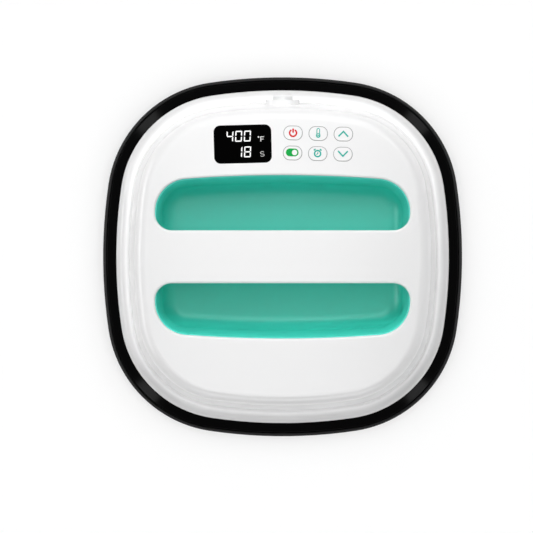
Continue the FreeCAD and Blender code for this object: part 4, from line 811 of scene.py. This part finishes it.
class PRESS_OT_blanket(bpy.types.Operator):
    """Makes the mineral blanket over the plate, cut round the posts, terminals, screws and sensors"""
    bl_idname = "press.blanket"
    bl_label = "Insulation blanket"

    def execute(self, context):
        low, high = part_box("insulation_blanket")
        bottom, top = low.z / MM + BLANKET_GAP, high.z / MM - BLANKET_GAP
        blanket = slab("blanket_fibre", BLANKET_INSET, bottom, top, BLANKET_EDGE)
        holes = [round_points(radius, 24, x, y) for x, y, radius in POST_HOLES + TERMINAL_HOLES + SCREW_HOLES]
        bay = []
        for side, end, first in ((1, -1, -90.0), (1, 1, 0.0), (-1, 1, 90.0), (-1, -1, 180.0)):
            arc = round_points(BAY_ROUND, 6, 0.0, 0.0, first, first + 90.0)
            bay += [(x + side * BAY_HALF_LENGTH, y + BAY_MIDDLE + end * BAY_HALF_WIDTH) for x, y in arc]
        past = 1.0
        cutters = [plate_of("hole", hole, bottom - past, top - bottom + 2 * past) for hole in [*holes, bay]]
        cutter = join("cutter", cutters)
        apply_modifier(blanket, "BOOLEAN", object=cutter, operation="DIFFERENCE")
        bpy.data.objects.remove(cutter)
        settle(blanket, "press", press_finishes_by_slot["mineral_blanket"],
               replaced=["insulation_blanket"])
        return {"FINISHED"}


def seven_segments(lit):
    """The outlines of the lit bars of one digit, mitred towards each other, leaning to the right."""
    width, height, thick = DIGIT_WIDTH, DIGIT_HEIGHT, DIGIT_STROKE
    gap, notch, cut, middle = 0.10, 0.30, 0.5, height / 2
    near, far = (cut - gap) / 2, (cut + gap) / 2
    level = [(cut, 0.0), (width - cut, 0.0), (width - far, near), (width - thick - gap, thick),
             (thick + gap, thick), (far, near)]
    upright = [(0.0, cut), (0.0, middle - notch), (thick, middle - thick / 2 - notch), (thick, thick + gap),
               (near, far)]
    waist = [(notch, middle), (thick, middle + thick / 2), (width - thick, middle + thick / 2),
             (width - notch, middle), (width - thick, middle - thick / 2), (thick, middle - thick / 2)]

    def turned(points, across, up):
        """A bar's outline mirrored across the digit, upside down, or both."""
        return [(width - x if across else x, height - y if up else y) for x, y in points]

    bars = {"a": turned(level, False, True), "b": turned(upright, True, True),
            "c": turned(upright, True, False), "d": level, "e": upright,
            "f": turned(upright, False, True), "g": waist}
    return [[(x + DIGIT_LEAN * y, y) for x, y in bars[name]] for name in lit]


def inlaid(name, points, place):
    """A flat mark with this outline, moved to its place."""
    return plate_of(name, shifted(points, *place), INLAY_LEVEL, INLAY_THICK)


def shifted(points, x, y):
    """The same outline elsewhere."""
    return [(at_x + x, at_y + y) for at_x, at_y in points]


def lay_on_crown(piece, x, y, turn, stand):
    """Turns flat work about its own middle, carries it to its place and lets it follow the crown."""
    cosine, sine = math.cos(math.radians(turn)), math.sin(math.radians(turn))
    for corner in piece.data.vertices:
        at_x, at_y = corner.co.x / MM, corner.co.y / MM
        to_x, to_y = x + at_x * cosine - at_y * sine, y + at_x * sine + at_y * cosine
        corner.co = (to_x * MM, to_y * MM, crown_level(to_x, to_y, stand) * MM + corner.co.z)


class PRESS_OT_readout(bpy.types.Operator):
    """Makes the lit figures and unit marks in the dark window"""
    bl_idname = "press.readout"
    bl_label = "Lit figures"

    def execute(self, context):
        bars = []
        for text, x, y in READOUT_ROWS:
            for number, digit in enumerate(text):
                for bar in seven_segments(DIGIT_SEGMENTS[digit]):
                    bars.append(inlaid("bar", bar, (x + DIGIT_PITCH * number, y)))
        figures = join("display_figures", bars)
        lay_on_crown(figures, *DISPLAY_PLACE, 0.0)
        settle(figures, "press", lit_finish("lit figures", (1.0, 1.0, 1.0)))

        upper = round_points(LETTER_S_RADIUS, 9, 0.0, 3 * LETTER_S_RADIUS, 25.0, 270.0)
        lower = round_points(LETTER_S_RADIUS, 9, 0.0, LETTER_S_RADIUS, 90.0, -155.0)
        curve = [(LETTER_S_WIDTH * x, y) for x, y in upper[:-1] + lower]
        marks = [inlaid("mark", LETTER_F, LETTER_F_PLACE),
                 inlaid("mark", round_points(DEGREE_RADIUS, 16), DEGREE_PLACE),
                 inlaid("mark", stroke(curve, LETTER_S_STROKE), LETTER_S_PLACE)]
        units = join("display_units", marks)
        lay_on_crown(units, *DISPLAY_PLACE, 0.0)
        settle(units, "press", lit_finish("lit unit marks", (0.72, 0.72, 0.72)))
        return {"FINISHED"}


def lit_finish(name, colour):
    """Light through a diffusing mask, in faint clouds."""
    finish = Finish(name)
    cloud = finish.noise(500.0, 1.0)
    glow = finish.blend(cloud, shade(colour, 0.94), shade(colour, 1.0))
    return finish.surface(Base_Color=(0.02, 0.02, 0.02), Roughness=0.3, Emission_Color=glow,
                          Emission_Strength=1.0)


def key_place(name):
    """A key's middle, from its packed box, in millimetres."""
    low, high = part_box(name)
    return (low.x + high.x) / 2 / MM, (low.y + high.y) / 2 / MM


def key_marks():
    """Each key's ink and its sign's shapes about the key's middle: an outline, and for a ring its hole."""
    power_arc = round_points(2.75, 30, 0.0, 0.0, 120.0, 420.0)
    clock_hands = stroke([(0.1, 1.5), (0.1, 0.0), (-1.1, -0.75)], 0.75)
    bells = [stroke(round_points(3.95, 6, -0.1, 0.0, start, start + 26.0), 1.2) for start in (39.0, 115.0)]
    chevron = [(-3.95, -1.95), (0.0, 2.2), (3.85, -1.95)]
    tube = (pill_points(2.9, 7.6, 32, 0.0, 0.6), pill_points(1.5, 6.2, 32, 0.0, 0.6))
    bulb = (round_points(1.85, 24, 0.0, -1.6), round_points(1.1, 24, 0.0, -1.6))
    toggle = (pill_points(10.2, 6.4, 40, -0.3, 0.45), round_points(2.15, 40, 1.6, 0.45))
    clock = (round_points(3.05, 36, -0.1, 0.0), round_points(1.85, 36, -0.1, 0.0))
    return {
        "power_key": ("red", [(stroke(power_arc, 1.3),), (stroke([(0.0, 0.2), (0.0, 3.6)], 1.35),)]),
        "temperature_key": ("teal", [tube, bulb, (round_points(0.6, 16, 0.0, -1.6),)]),
        "up_key": ("teal", [(stroke(chevron, 1.2),)]),
        "mode_key": ("green", [toggle]),
        "timer_key": ("teal", [clock, (clock_hands,), (bells[0],), (bells[1],)]),
        "down_key": ("teal", [(stroke([(x, 0.6 - y) for x, y in chevron], 1.2),)]),
    }


class PRESS_OT_signs(bpy.types.Operator):
    """Makes the coloured signs let into the six keys"""
    bl_idname = "press.signs"
    bl_label = "Key signs"

    def execute(self, context):
        inks = {
            "red": moulded("red ink", (0.66, 0.006, 0.008), 0.40, specular=0.05),
            "teal": moulded("green-blue ink", (0.022, 0.400, 0.320), 0.40, specular=0.08),
            "green": moulded("green ink", (0.001, 0.350, 0.055), 0.40, specular=0.08),
        }
        for key, (ink, shapes) in key_marks().items():
            parts = []
            for number, outlines in enumerate(shapes):
                maker = pierced_plate if len(outlines) == 2 else plate_of
                parts.append(maker("sign", *outlines, INLAY_LEVEL, INLAY_THICK + INLAY_STEP * number))
            sign = join(key.replace("key", "sign"), parts)
            lay_on_crown(sign, *key_place(key), KEY_TURN, KEY_STAND)
            settle(sign, key.replace("key", "button"), inks[ink])
        return {"FINISHED"}


class PRESS_OT_stage(bpy.types.Operator):
    """Adds the pale floor, the soft lamps, the sky and the camera"""
    bl_idname = "press.stage"
    bl_label = "Set the stage"

    def execute(self, context):
        stage = context.scene.press_stage
        floor = primitive("floor", "circle", vertices=64, radius=FLOOR_RADIUS, fill_type="NGON",
                          location=(0.0, 0.0, FLOOR_LEVEL))
        finish = Finish("pale floor")
        cloud = finish.noise(3.0, 3.0)
        pale = tuple(stage.floor_colour)
        tint = finish.blend(cloud, shade(pale, 0.995), shade(pale, 1.005))
        under = finish.add("ShaderNodeNewGeometry", {}, {}, "Backfacing")
        paint = finish.add("ShaderNodeBsdfDiffuse", {}, {"Color": tint})
        white = finish.add("ShaderNodeEmission", {}, {"Strength": 1.0})
        clear = finish.add("ShaderNodeBsdfTransparent", {}, {})
        lit = finish.add("ShaderNodeMixShader", {}, {0: finish.seen() * FLOOR_GLOW, 1: paint, 2: white})
        finish.finish_with(finish.add("ShaderNodeMixShader", {}, {0: under, 1: lit, 2: clear}))
        floor.data.materials.append(finish.material)

        sky = Sky("studio sky")
        light = sky.add("ShaderNodeBackground", {}, {"Color": sky.axis("Z").ramp(*SKY_TONES)})
        white = sky.add("ShaderNodeBackground", {}, {"Strength": 1.0, "Color": (1.0, 1.0, 1.0, 1.0)})
        sky.finish_with(sky.add("ShaderNodeMixShader", {}, {0: sky.seen(), 1: light, 2: white}))
        context.scene.world = sky.world

        window, skirt, basin = nodes["display_window"], nodes["lower_skirt"], nodes["handle_basin"]
        for lamp in KEY_LAMPS:
            soft_lamp(*lamp, gloss=False, spared=[floor])
        soft_lamp(*FLOOR_WASH, gloss=False, lit=[floor])
        for name, place, *lamp in TOP_SOFTBOXES:
            soft_lamp(name, place, *lamp, target=(*place[:2], 0.0), diffuse=False,
                      spared=[window, skirt, basin])
        for lamp in SIDE_SOFTBOXES:
            soft_lamp(*lamp, diffuse=False, spared=[window, skirt])
        soft_lamp(*RECESS_SHEEN, target=(0.0, 0.0, 0.0), diffuse=False, lit=[basin])
        for across, along in ((1.0, 1.0), (-1.0, 1.0), (-1.0, -1.0), (1.0, -1.0)):
            soft_lamp("corner strip", (across, along, CORNER_STRIP_HEIGHT), *CORNER_STRIP, diffuse=False,
                      lit=[skirt])

        bpy.ops.object.camera_add(location=(stage.centre_x, stage.centre_y, CAMERA_HEIGHT))
        camera = context.active_object
        camera.data.type = "ORTHO"
        camera.data.ortho_scale = stage.frame_width
        context.scene.camera = camera
        context.scene.view_settings.view_transform = "Standard"
        return {"FINISHED"}


OPERATORS = [PRESS_OT_finishes, PRESS_OT_pad, PRESS_OT_liner, PRESS_OT_blanket, PRESS_OT_readout,
             PRESS_OT_signs, PRESS_OT_stage]


class PRESS_PT_pieces(bpy.types.Panel):
    """Lists the steps that dress the press"""
    bl_idname = "PRESS_PT_pieces"
    bl_label = "Heat press"
    bl_space_type = "VIEW_3D"
    bl_region_type = "UI"
    bl_category = "Heat press"

    def draw(self, context):
        for step in OPERATORS:
            self.layout.operator(step.bl_idname)


GROUPS = {"press_colours": PressColours, "press_stage": PressStage}


def register():
    """Adds the sizes, the steps and the panel"""
    for kind in [*GROUPS.values(), *OPERATORS, PRESS_PT_pieces]:
        bpy.utils.register_class(kind)
    for name, kind in GROUPS.items():
        setattr(bpy.types.Scene, name, PointerProperty(type=kind))


def unregister():
    """Takes them away again"""
    for name in GROUPS:
        delattr(bpy.types.Scene, name)
    for kind in [PRESS_PT_pieces, *reversed(OPERATORS), *GROUPS.values()]:
        bpy.utils.unregister_class(kind)


def main():
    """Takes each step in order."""
    register()
    for step in OPERATORS:
        family, name = step.bl_idname.split(".")
        getattr(getattr(bpy.ops, family), name)()


if __name__ == "__main__":
    main()
